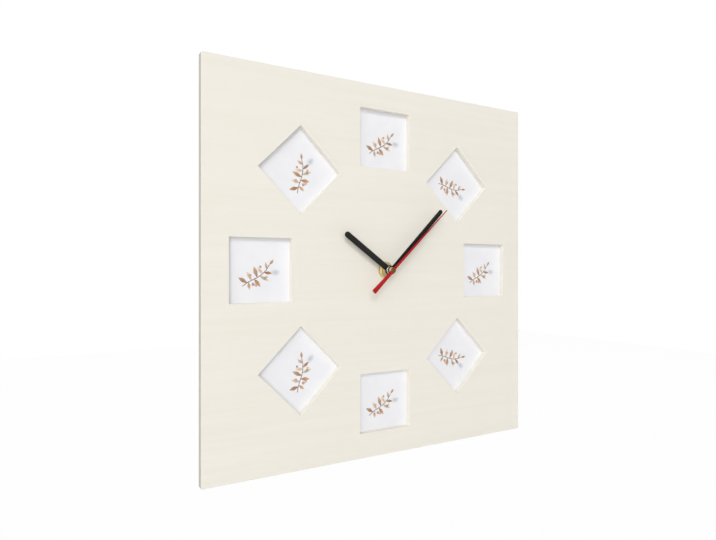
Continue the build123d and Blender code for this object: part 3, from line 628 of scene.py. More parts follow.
def combine(piece: Piece, tools: Sequence[Piece], how: str) -> None:
    """Cut, unite or intersect a piece with tools, which are then deleted.

    Args:
        piece: The piece that is kept.
        tools: The other shapes. They don't touch each other.
        how: DIFFERENCE, UNION or INTERSECT.
    """
    tool = join(tools)
    modify(piece, "BOOLEAN", operation=how, object=tool, solver="EXACT")
    bpy.data.objects.remove(tool)


def drill(piece: Piece, radius: float, rear: float, front: float, sides: int = ROUND) -> None:
    """Cut a round hole on the hands' axis, right through what lies between two planes."""
    combine(piece, [rod(CENTRE, radius, rear + CUT_OVERRUN, front - CUT_OVERRUN, sides)], "DIFFERENCE")


def turn(piece: Piece, angle: float, place: Point = CENTRE) -> None:
    """Turn a piece clockwise, as seen from the front, about an axis along Y."""
    centre = Vector(mm(place[0], 0, place[1]))
    spin = Matrix.Rotation(math.radians(angle), 4, "Y")
    piece.data.transform(Matrix.Translation(centre) @ spin @ Matrix.Translation(-centre))


def shift(piece: Piece, x: float, z: float) -> None:
    """Move a piece's mesh across and up, in millimetres."""
    piece.data.transform(Matrix.Translation(mm(x, 0, z)))


def copy(piece: Piece) -> Piece:
    """Copy a piece with a mesh of its own."""
    twin = piece.copy()
    twin.data = piece.data.copy()
    bpy.context.scene.collection.objects.link(twin)
    return twin


def face_out(piece: Piece) -> None:
    """Turn the faces of a piece outwards."""
    with editing(piece, "FACE", "SELECT"):
        bpy.ops.mesh.normals_make_consistent(inside=False)


def trace(points: Sequence[Corner], closed: bool = False) -> Piece:
    """Draw a line of edges from point to point.

    Args:
        points: The points, in millimetres.
        closed: Whether the last point is joined to the first.

    Returns:
        A piece with edges alone.
    """
    bpy.ops.mesh.primitive_plane_add(size=MM, location=mm(*points[0]))
    piece = added()
    ends = [Vector(points[0]), Vector(points[-1])]
    with editing(piece, "VERT", "SELECT"):
        bpy.ops.mesh.merge(type="CENTER")
        for start, end in zip(points, points[1:]):
            step = mm(*(high - low for low, high in zip(start, end)))
            bpy.ops.mesh.extrude_vertices_move(TRANSFORM_OT_translate={"value": step})
        if closed:
            pick(piece, "verts", lambda corners: min((corners[0] - end).length for end in ends) < TOUCH)
            bpy.ops.mesh.edge_face_add()
    return piece


def draw_out(piece: Piece, *step: float) -> None:
    """Draw a traced line out into a strip, by a step in millimetres."""
    with editing(piece, "VERT", "SELECT"):
        bpy.ops.mesh.extrude_edges_move(TRANSFORM_OT_translate={"value": mm(*step)})


def lathe(profile: Sequence[Point], steps: int = ROUND, along_x: bool = False,
          place: Point = CENTRE) -> Piece:
    """Turn a closed outline round an axis.

    Args:
        profile: Points (radius, distance along the axis) in millimetres, in order round the outline.
        steps: How many steps the turn has.
        along_x: Turn about an axis along X at (y, z) = place, and not along Y at (x, z) = place.
        place: Where the axis lies.

    Returns:
        The turned piece, closed and with its normals outwards.
    """
    if along_x:
        points = [(along, place[0], place[1] + radius) for radius, along in profile]
        centre, axis = mm(0, *place), (1, 0, 0)
    else:
        points = [(place[0] + radius, along, place[1]) for radius, along in profile]
        centre, axis = mm(place[0], 0, place[1]), (0, 1, 0)
    piece = trace(points, closed=True)
    with editing(piece, "VERT", "SELECT"):
        bpy.ops.mesh.spin(steps=steps, angle=2 * math.pi, center=centre, axis=axis)
        bpy.ops.mesh.select_all(action="SELECT")
        bpy.ops.mesh.remove_doubles(threshold=TOUCH * MM)
        bpy.ops.mesh.delete_loose(use_verts=True, use_edges=True, use_faces=False)
        bpy.ops.mesh.select_all(action="SELECT")
        bpy.ops.mesh.normals_make_consistent(inside=False)
    return piece


def finish(piece: Piece, name: str, look: Look, body: Body | str, *nodes: str) -> None:
    """Clean, name and dress a finished piece and hang it on its body.

    Args:
        piece: The piece, with its place in its mesh.
        name: The piece's name.
        look: Its finish, which brings its material slot.
        body: The body that it moves with.
        *nodes: The CAD nodes that it stands for.
    """
    settle(piece)
    # Take out the slivers that the cuts leave
    with editing(piece, "VERT", "SELECT"):
        bpy.ops.mesh.remove_doubles(threshold=SLIVER * MM)
        bpy.ops.mesh.select_all(action="SELECT")
        bpy.ops.mesh.dissolve_degenerate(threshold=SLIVER * MM)
    # Shade round faces smooth and keep flat faces flat
    only(piece)
    bpy.ops.object.shade_smooth_by_angle(angle=math.radians(SHARP_ANGLE))
    modify(piece, "WEIGHTED_NORMAL", keep_sharp=True, weight=80)
    piece.name = name
    piece.data.name = name
    piece.data.materials.append(material_for(look))
    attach(piece, body.value if isinstance(body, Body) else body)
    if nodes:
        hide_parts(*nodes)
    LOG.info("%s: %d faces on %s", name, len(piece.data.polygons), body)


def on_line(axis: str, *heights: float) -> Test:
    """Make a test for edges that run along one axis.

    Args:
        axis: The axis, x, y or z.
        *heights: The heights in millimetres that such an edge may lie at. With none, any will do.

    Returns:
        A test for pick.
    """
    def test(corners: Sequence[Vector]) -> bool:
        """Say whether the edge runs along the axis at one of the heights."""
        first, last = corners
        others = [name for name in "xyz" if name != axis]
        level = all(abs(getattr(first, name) - getattr(last, name)) < SLIVER for name in others)
        return level and (not heights or any(abs(first.z - height) < NEAR for height in heights))
    return test


def in_plane(plane: float) -> Test:
    """Make a test for elements that lie in a plane across Y."""
    return lambda corners: all(abs(corner.y - plane) < NEAR for corner in corners)


def offset(points: Sequence[Point], radius: float, plane: float) -> list[Point]:
    """Place profile points that are given from a radius and a plane."""
    return [(radius + across, plane + along) for across, along in points]


def dome(radius: float, base: float, rise: float, steps: int, inset: float = 0.0) -> list[Point]:
    """Return the profile points of a quarter arc, 15 degrees apart.

    Args:
        radius: The arc's reach across.
        base: The plane that it starts in.
        rise: How far it goes along the axis.
        steps: How many points it has.
        inset: The radius of the flat that it ends on.
    """
    turns = [math.radians(15 * step) for step in range(steps)]
    return [(inset + radius * math.cos(angle), base + rise * math.sin(angle)) for angle in turns]


# The panel and its pictures


@dataclass
class Panel:
    """Square plywood panel with eight windows and a rebate behind each."""

    side: float = 300.0
    shaft_hole: float = 4.2
    lip: float = 3.0
    pilot: float = 1.28
    pilot_front: float = -21.83
    pilot_steps: int = 24
    corner: float = 0.9
    edge: float = 0.3

    def build(self) -> None:
        """Model the panel."""
        half = self.side / 2
        panel = block((-half, PANEL_FRONT, -half), (half, PANEL_REAR, half))
        round_edges(panel, self.corner, steps=4, test=on_line("y"))
        rear, front = PANEL_REAR + CUT_OVERRUN, PANEL_FRONT - CUT_OVERRUN
        windows = [rod(CENTRE, self.shaft_hole, rear, front)]
        rebates = []
        for index in range(len(WINDOWS)):
            window = ring_block(WINDOW_SIDE, rear, front)
            behind = [ring_block(WINDOW_SIDE + 2 * self.lip, rear, REBATE_FLOOR)]
            for side in (-BUTTON_PIVOT, BUTTON_PIVOT):
                behind.append(rod((side, RING_RADIUS), self.pilot, rear, self.pilot_front, self.pilot_steps))
            for tool in (window, *behind):
                turn(tool, WINDOW_STEP * index)
            windows.append(window)
            rebates += behind
        combine(panel, windows, "DIFFERENCE")
        combine(panel, rebates, "DIFFERENCE")
        ease(panel, self.edge, steps=3)
        finish(panel, "plywood_panel", Look.PLYWOOD, Body.FRAME, "front_panel")


@dataclass(frozen=True)
class Leaf:
    """One leaf of the printed sprig: its foot, direction, size and colours."""

    foot: Point
    direction: float
    length: float
    width: float
    root: str
    tip: str


@dataclass
class PrintedSprig:
    """The small picture on each card: a sprig of dry leaves and berries before a pale moon."""

    sides: int = 20
    layer: float = 0.004
    first_layer: int = 4
    stem_layer: int = 2
    leaf_layer: int = 4
    berry_layer: int = 16
    leaf_bulge: float = 0.45
    vein_tone: float = 0.82
    glint: float = 0.45
    stem_width: float = 0.55
    stem_colour: str = "8A6A4C"
    stem: tuple[Point, ...] = (
        (-12.5, -11.5), (-9.5, -9.2), (-6.0, -7.4), (-2.0, -5.6), (2.0, -3.2), (5.6, 0.2), (8.0, 4.0),
    )
    leaves: tuple[Leaf, ...] = (
        Leaf((-9.0, -9.0), 300.0, 7.6, 3.0, "8E6544", "C79B72"),
        Leaf((-8.0, -8.6), 172.0, 5.6, 2.4, "B78A63", "E7C4A2"),
        Leaf((-5.6, -7.2), 330.0, 7.2, 2.8, "C9A98A", "F0D9BF"),
        Leaf((-3.6, -6.4), 140.0, 7.4, 2.9, "A47449", "D8AE84"),
        Leaf((-1.4, -5.2), 342.0, 8.6, 3.1, "9A6C48", "D9B48F"),
        Leaf((0.4, -4.2), 116.0, 8.2, 2.6, "BFAE86", "E6DABB"),
        Leaf((2.8, -2.6), 320.0, 6.6, 2.5, "D9B392", "F3DFC9"),
        Leaf((3.8, -1.6), 96.0, 6.4, 2.3, "8B6243", "C09068"),
        Leaf((6.0, 0.6), 350.0, 5.8, 2.1, "B98E66", "E9CDAE"),
        Leaf((8.0, 4.0), 40.0, 5.2, 2.0, "A1754E", "D6B08A"),
    )
    berries: tuple[tuple[float, float, float, str], ...] = (
        (-4.4, -10.2, 1.15, "A5694A"), (-2.2, -10.9, 1.0, "C98E68"), (-6.6, -3.6, 0.95, "B9835B"),
        (4.4, -5.8, 1.05, "8C5A3E"), (6.0, -4.8, 0.9, "D4A27C"), (1.0, 2.6, 0.9, "9C6B4A"),
    )
    moon: tuple[float, float, float, float] = (12.6, -1.6, 4.6, 3.0)
    moon_colours: tuple[str, str] = ("BCC2CB", "F3F3F6")

    def paint(self, piece: Piece, colour_at: Callable[[Vector], Sequence[float]]) -> None:
        """Store a colour at each point of a shape."""
        ink = piece.data.color_attributes.new("Ink", "FLOAT_COLOR", "POINT")
        for vertex, item in zip(piece.data.vertices, ink.data):
            item.color = colour_at(vertex.co / MM)

    def height(self, layer: int) -> float:
        """Return the plane of a layer of ink, the first one clear of the card."""
        return REBATE_FLOOR - (self.first_layer + layer) * self.layer

    def disc(self, x: float, z: float, half_width: float, half_height: float, layer: int) -> Piece:
        """Add a flat oval, facing the front, on a layer of ink."""
        bpy.ops.mesh.primitive_circle_add(
            vertices=self.sides, radius=MM, fill_type="TRIFAN", rotation=(math.pi / 2, 0, 0),
            location=mm(x, self.height(layer), z),
        )
        piece = bpy.context.active_object
        piece.scale = (half_width, half_height, 1)
        settle(piece)
        return piece

    def spot(self, place: Sequence[float], layer: int, middle: Sequence[float],
             rim: Sequence[float]) -> Piece:
        """Draw the moon or a berry: an oval that fades from its middle to its rim.

        Args:
            place: Its x, z, half width and half height.
            layer: Its layer of ink.
            middle: The linear colour at its middle.
            rim: The linear colour at its rim.

        Returns:
            The painted oval.
        """
        x, z = place[:2]
        piece = self.disc(*place, layer)
        self.paint(piece, lambda point: middle if math.hypot(point.x - x, point.z - z) < NEAR else rim)
        return piece

    def leaf(self, leaf: Leaf, layer: int) -> Piece:
        """Draw a pointed leaf: a disc, narrowed rank by rank towards its two ends."""
        half = leaf.length / 2
        piece = self.disc(0, half, leaf.width / 2, half, layer)
        ranks = sorted({round(vertex.co.z / MM, 3) for vertex in piece.data.vertices})
        with editing(piece):
            for rank in ranks[1:-1]:
                pick(piece, "verts", lambda corners: abs(corners[0].z - rank) < WELD)
                narrow = (1 - abs(rank - half) / half) ** self.leaf_bulge
                bpy.ops.transform.resize(value=(narrow, 1, 1), center_override=mm(0, 0, rank))
        root, tip = linear(leaf.root), linear(leaf.tip)

        def tone(point: Vector) -> tuple[float, ...]:
            """Blend from the root's colour to the tip's, with a darker middle vein."""
            share = min(max(point.z / leaf.length, 0.0), 1.0)
            vein = self.vein_tone if abs(point.x) < NEAR else 1.0
            return tuple(vein * (a + (b - a) * share) for a, b in zip(root, tip))

        self.paint(piece, tone)
        turn(piece, leaf.direction)
        shift(piece, *leaf.foot)
        return piece

    def stalk(self) -> Piece:
        """Draw the stem: a narrow strip drawn out from point to point."""
        piece = trace([(x, self.height(self.stem_layer), z) for x, z in self.stem])
        half = self.stem_width / 2
        shift(piece, half / 2, -half)
        draw_out(piece, -half, 0, 2 * half)
        face_out(piece)
        self.paint(piece, lambda point: linear(self.stem_colour))
        return piece

    def build(self) -> Piece:
        """Draw the whole picture at the middle of the front.

        Returns:
            One flat mesh with its colours stored at its points.
        """
        shapes = [self.spot(self.moon, 0, *map(linear, self.moon_colours)), self.stalk()]
        for number, leaf in enumerate(self.leaves):
            shapes.append(self.leaf(leaf, self.leaf_layer + number))
        for x, z, radius, colour in self.berries:
            dark = linear(colour)
            glint = tuple(part + (1 - part) * self.glint for part in dark)
            shapes.append(self.spot((x, z, radius, radius), self.berry_layer, glint, dark))
        picture = join(shapes)
        face_out(picture)
        if sum(face.normal.y * face.area for face in picture.data.polygons) > 0:
            with editing(picture, "FACE", "SELECT"):
                bpy.ops.mesh.flip_normals()
        return picture


@dataclass
class Pictures:
    """The cards, their prints, the backings, and the turn buttons with their screws."""

    card_side: float = 52.898
    card_edge: float = 0.04
    backing_side: float = 52.798
    backing_edge: float = 0.2
    card_tilt: tuple[float, ...] = (0, 45, 0, 45, 0, -45, 0, -45)
    button_width: float = 7.0
    button_reach: float = 11.5
    button_sheet: float = 0.8
    button_bend: float = 0.5
    button_edge: float = 0.12
    button_end: float = 0.995
    foot_middle: float = -17.3
    tongue_middle: float = -16.3
    joggle: Point = (3.6, 5.0)
    screw_hole: float = 1.33
    screw_head: float = 2.4
    screw_under: float = -16.8
    screw_top: float = -15.3
    screw_tip: float = -21.8
    screw_shank: float = 1.25
    screw_point: Point = (0.4, 1.0)
    screw_edge: float = 0.05
    head_edge: float = 0.1
    crown: float = 0.9
    cross: tuple[float, float, float] = (1.4, 0.3, 0.7)
    cross_taper: float = 0.55
    slot_turn: float = 17.0

    def plate(self, side: float, rear: float, front: float, edge: float) -> Piece:
        """Make a square plate at the top of the ring with eased edges."""
        piece = ring_block(side, rear, front)
        round_edges(piece, 4 * edge, steps=3, test=on_line("y"))
        ease(piece, edge)
        return piece

    def button(self) -> Piece:
        """Make a turn button: a strip bent into a joggle, round at both ends, with its screw hole."""
        half = self.button_width / 2
        low_x, high_x = self.joggle
        piece = trace([
            (-half, self.foot_middle, -half), (low_x, self.foot_middle, -half),
            (high_x, self.tongue_middle, -half), (self.button_reach, self.tongue_middle, -half),
        ])
        draw_out(piece, 0, 0, 2 * half)
        round_corners(piece, half * self.button_end, lambda corners: (
            corners[0].x < NEAR - half or corners[0].x > self.button_reach - NEAR
        ))
        round_edges(piece, self.button_bend, steps=3, test=on_line("z"))
        modify(piece, "SOLIDIFY", thickness=self.button_sheet * MM, offset=0, use_even_offset=True)
        with editing(piece, "FACE", "SELECT"):
            bpy.ops.mesh.remove_doubles(threshold=WELD * MM)
            bpy.ops.mesh.normals_make_consistent(inside=False)
        drill(piece, self.screw_hole, self.foot_middle, self.foot_middle, PIN_ROUND)
        ease(piece, self.button_edge)
        return piece

    def screw(self) -> Piece:
        """Make a pan-head screw with a cross recess."""
        head, shank, edge = self.screw_head, self.screw_shank, self.head_edge
        point, taper = self.screw_point
        piece = lathe([
            (0, self.screw_tip), (point, self.screw_tip), (shank, self.screw_tip + taper),
            (shank, self.screw_under), (head - edge, self.screw_under), (head, self.screw_under + edge),
            *dome(self.crown, self.screw_top - self.crown, self.crown, steps=7, inset=head - self.crown),
            (0, self.screw_top),
        ], PIN_ROUND)
        wide, narrow, deep = self.cross
        for x, z in ((wide, narrow), (narrow, wide)):
            bar = block((-x, self.screw_top - deep, -z), (x, self.screw_top + CUT_OVERRUN, z))
            with editing(bar):
                pick(bar, "verts", lambda corners: corners[0].y < self.screw_top)
                narrower = (self.cross_taper, 1, self.cross_taper)
                bpy.ops.transform.resize(value=narrower, center_override=(0, 0, 0))
            combine(piece, [bar], "DIFFERENCE")
        ease(piece, self.screw_edge, steps=1, angle=50.0)
        return piece

    def build(self) -> None:
        """Model one of each and set a copy at each window."""
        card = self.plate(self.card_side, CARD_REAR, REBATE_FLOOR, self.card_edge)
        backing = self.plate(self.backing_side, BACKING_REAR, CARD_REAR, self.backing_edge)
        picture = PrintedSprig().build()
        button = self.button()
        screw = self.screw()
        for index, name in enumerate(WINDOWS):
            angle = WINDOW_STEP * index
            plates = (card, "photo_card", Look.PAPER), (backing, "backing", Look.HARDBOARD)
            for model, label, look in plates:
                twin = copy(model)
                turn(twin, angle)
                finish(twin, f"{label}_piece_{name}", look, Body.FRAME, f"{label}_{name}")
            twin = copy(picture)
            turn(twin, self.card_tilt[index])
            shift(twin, *polar(RING_RADIUS, angle))
            finish(twin, f"card_print_{name}", Look.INK, Body.FRAME)
            for number, side in ((1, -1), (2, 1)):
                screw_twin = copy(screw)
                turn(screw_twin, self.slot_turn * (2 * index + number))
                button_twin = copy(button)
                turn(button_twin, 180 if side > 0 else 0)
                for twin in (screw_twin, button_twin):
                    shift(twin, side * BUTTON_PIVOT, RING_RADIUS)
                    turn(twin, angle)
                place = f"{name}_{number}"
                finish(screw_twin, f"button_screw_{place}", Look.ZINC, Body.FRAME, "turn_button_screws")
                node = f"turn_button_{place}"
                finish(button_twin, f"turn_button_piece_{place}", Look.ZINC, node, node)
        for model in (card, backing, picture, button, screw):
            bpy.data.objects.remove(model)


# The hands and the brass at their middle


@dataclass(frozen=True)
class Baton:
    """The sizes of a straight hand and of the collar that holds it on its pipe."""

    name: str
    body: Body
    metal: Look
    rear: float
    length: float
    width: float
    hub: float
    direction: float
    pipe: float
    collar: float


@dataclass
class Hands:
    """Hour, minute and second hand, each with the collar or boss that holds it."""

    sheet: float = 0.5
    edge: float = 0.1
    tip_share: float = 0.499
    waist: float = 0.15
    collar_rear: float = 0.8
    collar_front: float = 0.3
    collar_edge: Point = (0.14, 0.05)
    bore_edge: float = 0.08
    batons: tuple[Baton, ...] = (
        Baton("hour", Body.HOURS, Look.ALUMINIUM, -29.6, 50.0, 4.8, 4.1, 305.5, 2.55, 3.15),
        Baton("minute", Body.MINUTES, Look.BRASS, -32.4, 72.0, 3.8, 3.3, 45.2, 1.75, 2.5),
    )
    second_rear: float = -35.1
    second_angle: float = 46.9
    second_length: float = 74.5
    second_root: float = 2.0
    second_tip: float = 0.6
    second_tip_corner: float = 0.27
    second_hub: float = 2.2
    second_edge: float = 0.08
    hub_steps: int = 64
    tail_length: float = 25.2
    tail_root: float = 2.4
    tail_end: float = 4.0
    tail_corner: float = 0.9
    boss: float = 1.3
    boss_waist: float = 1.18
    boss_rear: float = -34.0
    cap: float = 2.0
    cap_front: float = -36.1
    arbor: float = 0.5

    def blade(self, baton: Baton) -> Piece:
        """Make a straight hand that points to twelve, with a round tip and a hub disc."""
        rear, front = baton.rear, baton.rear - self.sheet
        blade = block((-baton.width / 2, front, 0), (baton.width / 2, rear, baton.length))
        round_edges(blade, baton.width * self.tip_share, steps=10, test=on_line("y", baton.length))
        combine(blade, [rod(CENTRE, baton.hub, rear, front)], "UNION")
        drill(blade, baton.collar - self.waist, rear, front)
        ease(blade, self.edge)
        return blade

    def collar(self, baton: Baton) -> Piece:
        """Turn a collar that is swaged over the hand's hub on both sides."""
        rear, pipe, outer = baton.rear, baton.pipe, baton.collar
        front, waist = rear - self.sheet, outer - self.waist
        low, high = rear + self.collar_rear, front - self.collar_front
        soft, shoulder = self.collar_edge
        bore = self.bore_edge
        return lathe([
            (pipe, low), (outer - self.edge, low), (outer, low - self.edge), (outer, rear), (waist, rear),
            (waist, front), (outer, front), (outer, high + soft), (outer - shoulder, high + shoulder),
            (outer - soft, high), (pipe + bore, high), (pipe, high + bore),
        ])

    def arm(self, reach: float, root: float, end: float, corner: float, steps: int) -> Piece:
        """Make a tapered arm of the second hand.

        Args:
            reach: How far it goes up from the axis, or below zero for down.
            root: Its width at the axis.
            end: Its width at its end.
            corner: The radius of its end's corners.
            steps: How many steps each corner has.

        Returns:
            The arm.
        """
        rear = self.second_rear
        arm = block((-root / 2, rear - self.sheet, 0), (root / 2, rear, reach))
        with editing(arm):
            pick(arm, "verts", lambda corners: abs(corners[0].z) > abs(reach) / 2)
            bpy.ops.transform.resize(value=(end / root, 1, 1), center_override=(0, 0, 0))
        round_edges(arm, corner, steps, on_line("y", reach))
        return arm

    def needle(self) -> Piece:
        """Make the second hand: a tapered needle, a paddle tail and a hub disc."""
        rear, front = self.second_rear, self.second_rear - self.sheet
        needle = self.arm(
            self.second_length, self.second_root, self.second_tip, self.second_tip_corner, steps=4,
        )
        tail = self.arm(-self.tail_length, self.tail_root, self.tail_end, self.tail_corner, steps=6)
        combine(needle, [tail], "UNION")
        combine(needle, [rod(CENTRE, self.second_hub, rear, front, self.hub_steps)], "UNION")
        drill(needle, self.boss_waist, rear, front, SMALL_ROUND)
        ease(needle, self.second_edge)
        return needle

    def cap_piece(self) -> Piece:
        """Turn the second hand's boss, with its waist in the hand and a low domed cap in front."""
        rear, front = self.second_rear, self.second_rear - self.sheet
        boss, waist, start = self.boss, self.boss_waist, self.boss_rear
        return lathe([
            (self.arbor, start), (boss - self.edge, start), (boss, start - self.edge), (boss, rear),
            (waist, rear), (waist, front), *dome(self.cap, front, self.cap_front - front, steps=6),
            (0, self.cap_front), (0, front), (self.arbor, front),
        ], self.hub_steps)

    def build(self) -> None:
        """Model the hands and their collars."""
        for baton in self.batons:
            blade = self.blade(baton)
            turn(blade, baton.direction)
            finish(blade, f"{baton.name}_blade", Look.BLACK_ENAMEL, baton.body, f"{baton.name}_hand")
            finish(self.collar(baton), f"{baton.name}_collar", baton.metal, baton.body)
        needle = self.needle()
        turn(needle, self.second_angle)
        finish(needle, "second_needle", Look.RED_ENAMEL, Body.SECONDS, "second_hand")
        # The boss gets brass that is painted darker as shade
        finish(self.cap_piece(), "second_cap", Look.SHADED_BRASS, Body.SECONDS)


@dataclass
class Clamp:
    """Washer, nut, threaded bushing and rubber washer that clamp the movement to the panel."""

    washer_radius: float = 7.1
    washer_front: float = -24.4
    washer_edge: float = 0.14
    washer_shoulder: float = 0.04
    washer_steps: int = 128
    nut_flats: float = 10.0
    nut_front: float = -26.4
    nut_chamfer: float = 0.42
    nut_edge: float = 0.08
    nut_play: float = 0.01
    bushing_bore: float = 2.6
    bushing_front: float = -27.3
    flange: float = 5.6
    flange_edge: float = 0.15
    crest_play: Point = (0.02, 0.05)
    end_edge: float = 0.1
    bore_edge: float = 0.12
    pitch: float = 0.75
    thread_depth: float = 0.35
    rubber_radius: float = 11.0
    rubber_rear: float = -16.8
    rubber_edge: Point = (0.3, 0.5)
    rubber_shoulder: Point = (0.09, 0.12)

    def nut(self) -> Piece:
        """Make a hexagon nut with turned corners and a thread's bore."""
        across_corners = self.nut_flats / math.sqrt(3)
        nut = rod(CENTRE, across_corners, self.washer_front, self.nut_front, sides=6)
        blank = rod(CENTRE, across_corners, self.washer_front, self.nut_front)
        round_edges(blank, self.nut_chamfer, steps=1, test=in_plane(self.nut_front))
        combine(nut, [blank], "INTERSECT")
        drill(nut, NECK_RADIUS + self.nut_play, self.washer_front, self.nut_front)
        ease(nut, self.nut_edge, angle=SHARP_ANGLE)
        return nut

    def threaded_profile(self) -> list[Point]:
        """Return the bushing's outline: a flange, a plain neck and the thread's ridges."""
        bore, front, edge = self.bushing_bore, self.bushing_front, self.flange_edge
        points = [
            (bore, BAY_FLOOR), (self.flange - edge, BAY_FLOOR), (self.flange, BAY_FLOOR - edge),
            (self.flange, FLANGE_FRONT), (NECK_RADIUS, FLANGE_FRONT),
        ]
        play, end_play = self.crest_play
        root = NECK_RADIUS - self.thread_depth
        at = CASE_FRONT - self.pitch
        while at - self.pitch > front:
            points += [(NECK_RADIUS - play, at), (root, at - self.pitch / 2)]
            at -= self.pitch
        points += [
            (NECK_RADIUS - end_play, at), (root, front + self.end_edge), (root - self.end_edge, front),
            (bore + self.bore_edge, front), (bore, front + self.bore_edge),
        ]
        return points

    def build(self) -> None:
        """Model the clamping pieces."""
        rim, front = self.washer_radius, self.washer_front
        edge, shoulder = self.washer_edge, self.washer_shoulder
        washer = lathe([
            (NECK_RADIUS, PANEL_FRONT), (rim - edge, PANEL_FRONT), (rim, PANEL_FRONT - edge),
            (rim, front + edge), (rim - shoulder, front + shoulder), (rim - edge, front),
            (NECK_RADIUS, front),
        ], self.washer_steps)
        finish(washer, "brass_washer", Look.BRASS, Body.FRAME, "dial_washer")
        finish(self.nut(), "brass_nut", Look.BRASS, Body.FRAME, "hex_nut")
        finish(lathe(self.threaded_profile()), "brass_bushing", Look.BRASS, Body.FRAME, "threaded_bushing")
        rim, rear = self.rubber_radius, self.rubber_rear
        soft, bulge = self.rubber_edge
        across, along = self.rubber_shoulder
        rubber = lathe([
            (NECK_RADIUS, rear), (rim - soft, rear), (rim - across, rear - along), (rim, rear - bulge),
            (rim - across, PANEL_REAR + along), (rim - soft, PANEL_REAR), (NECK_RADIUS, PANEL_REAR),
        ])
        finish(rubber, "rubber_ring", Look.RUBBER, Body.FRAME, "rubber_washer")


# The movement behind the panel


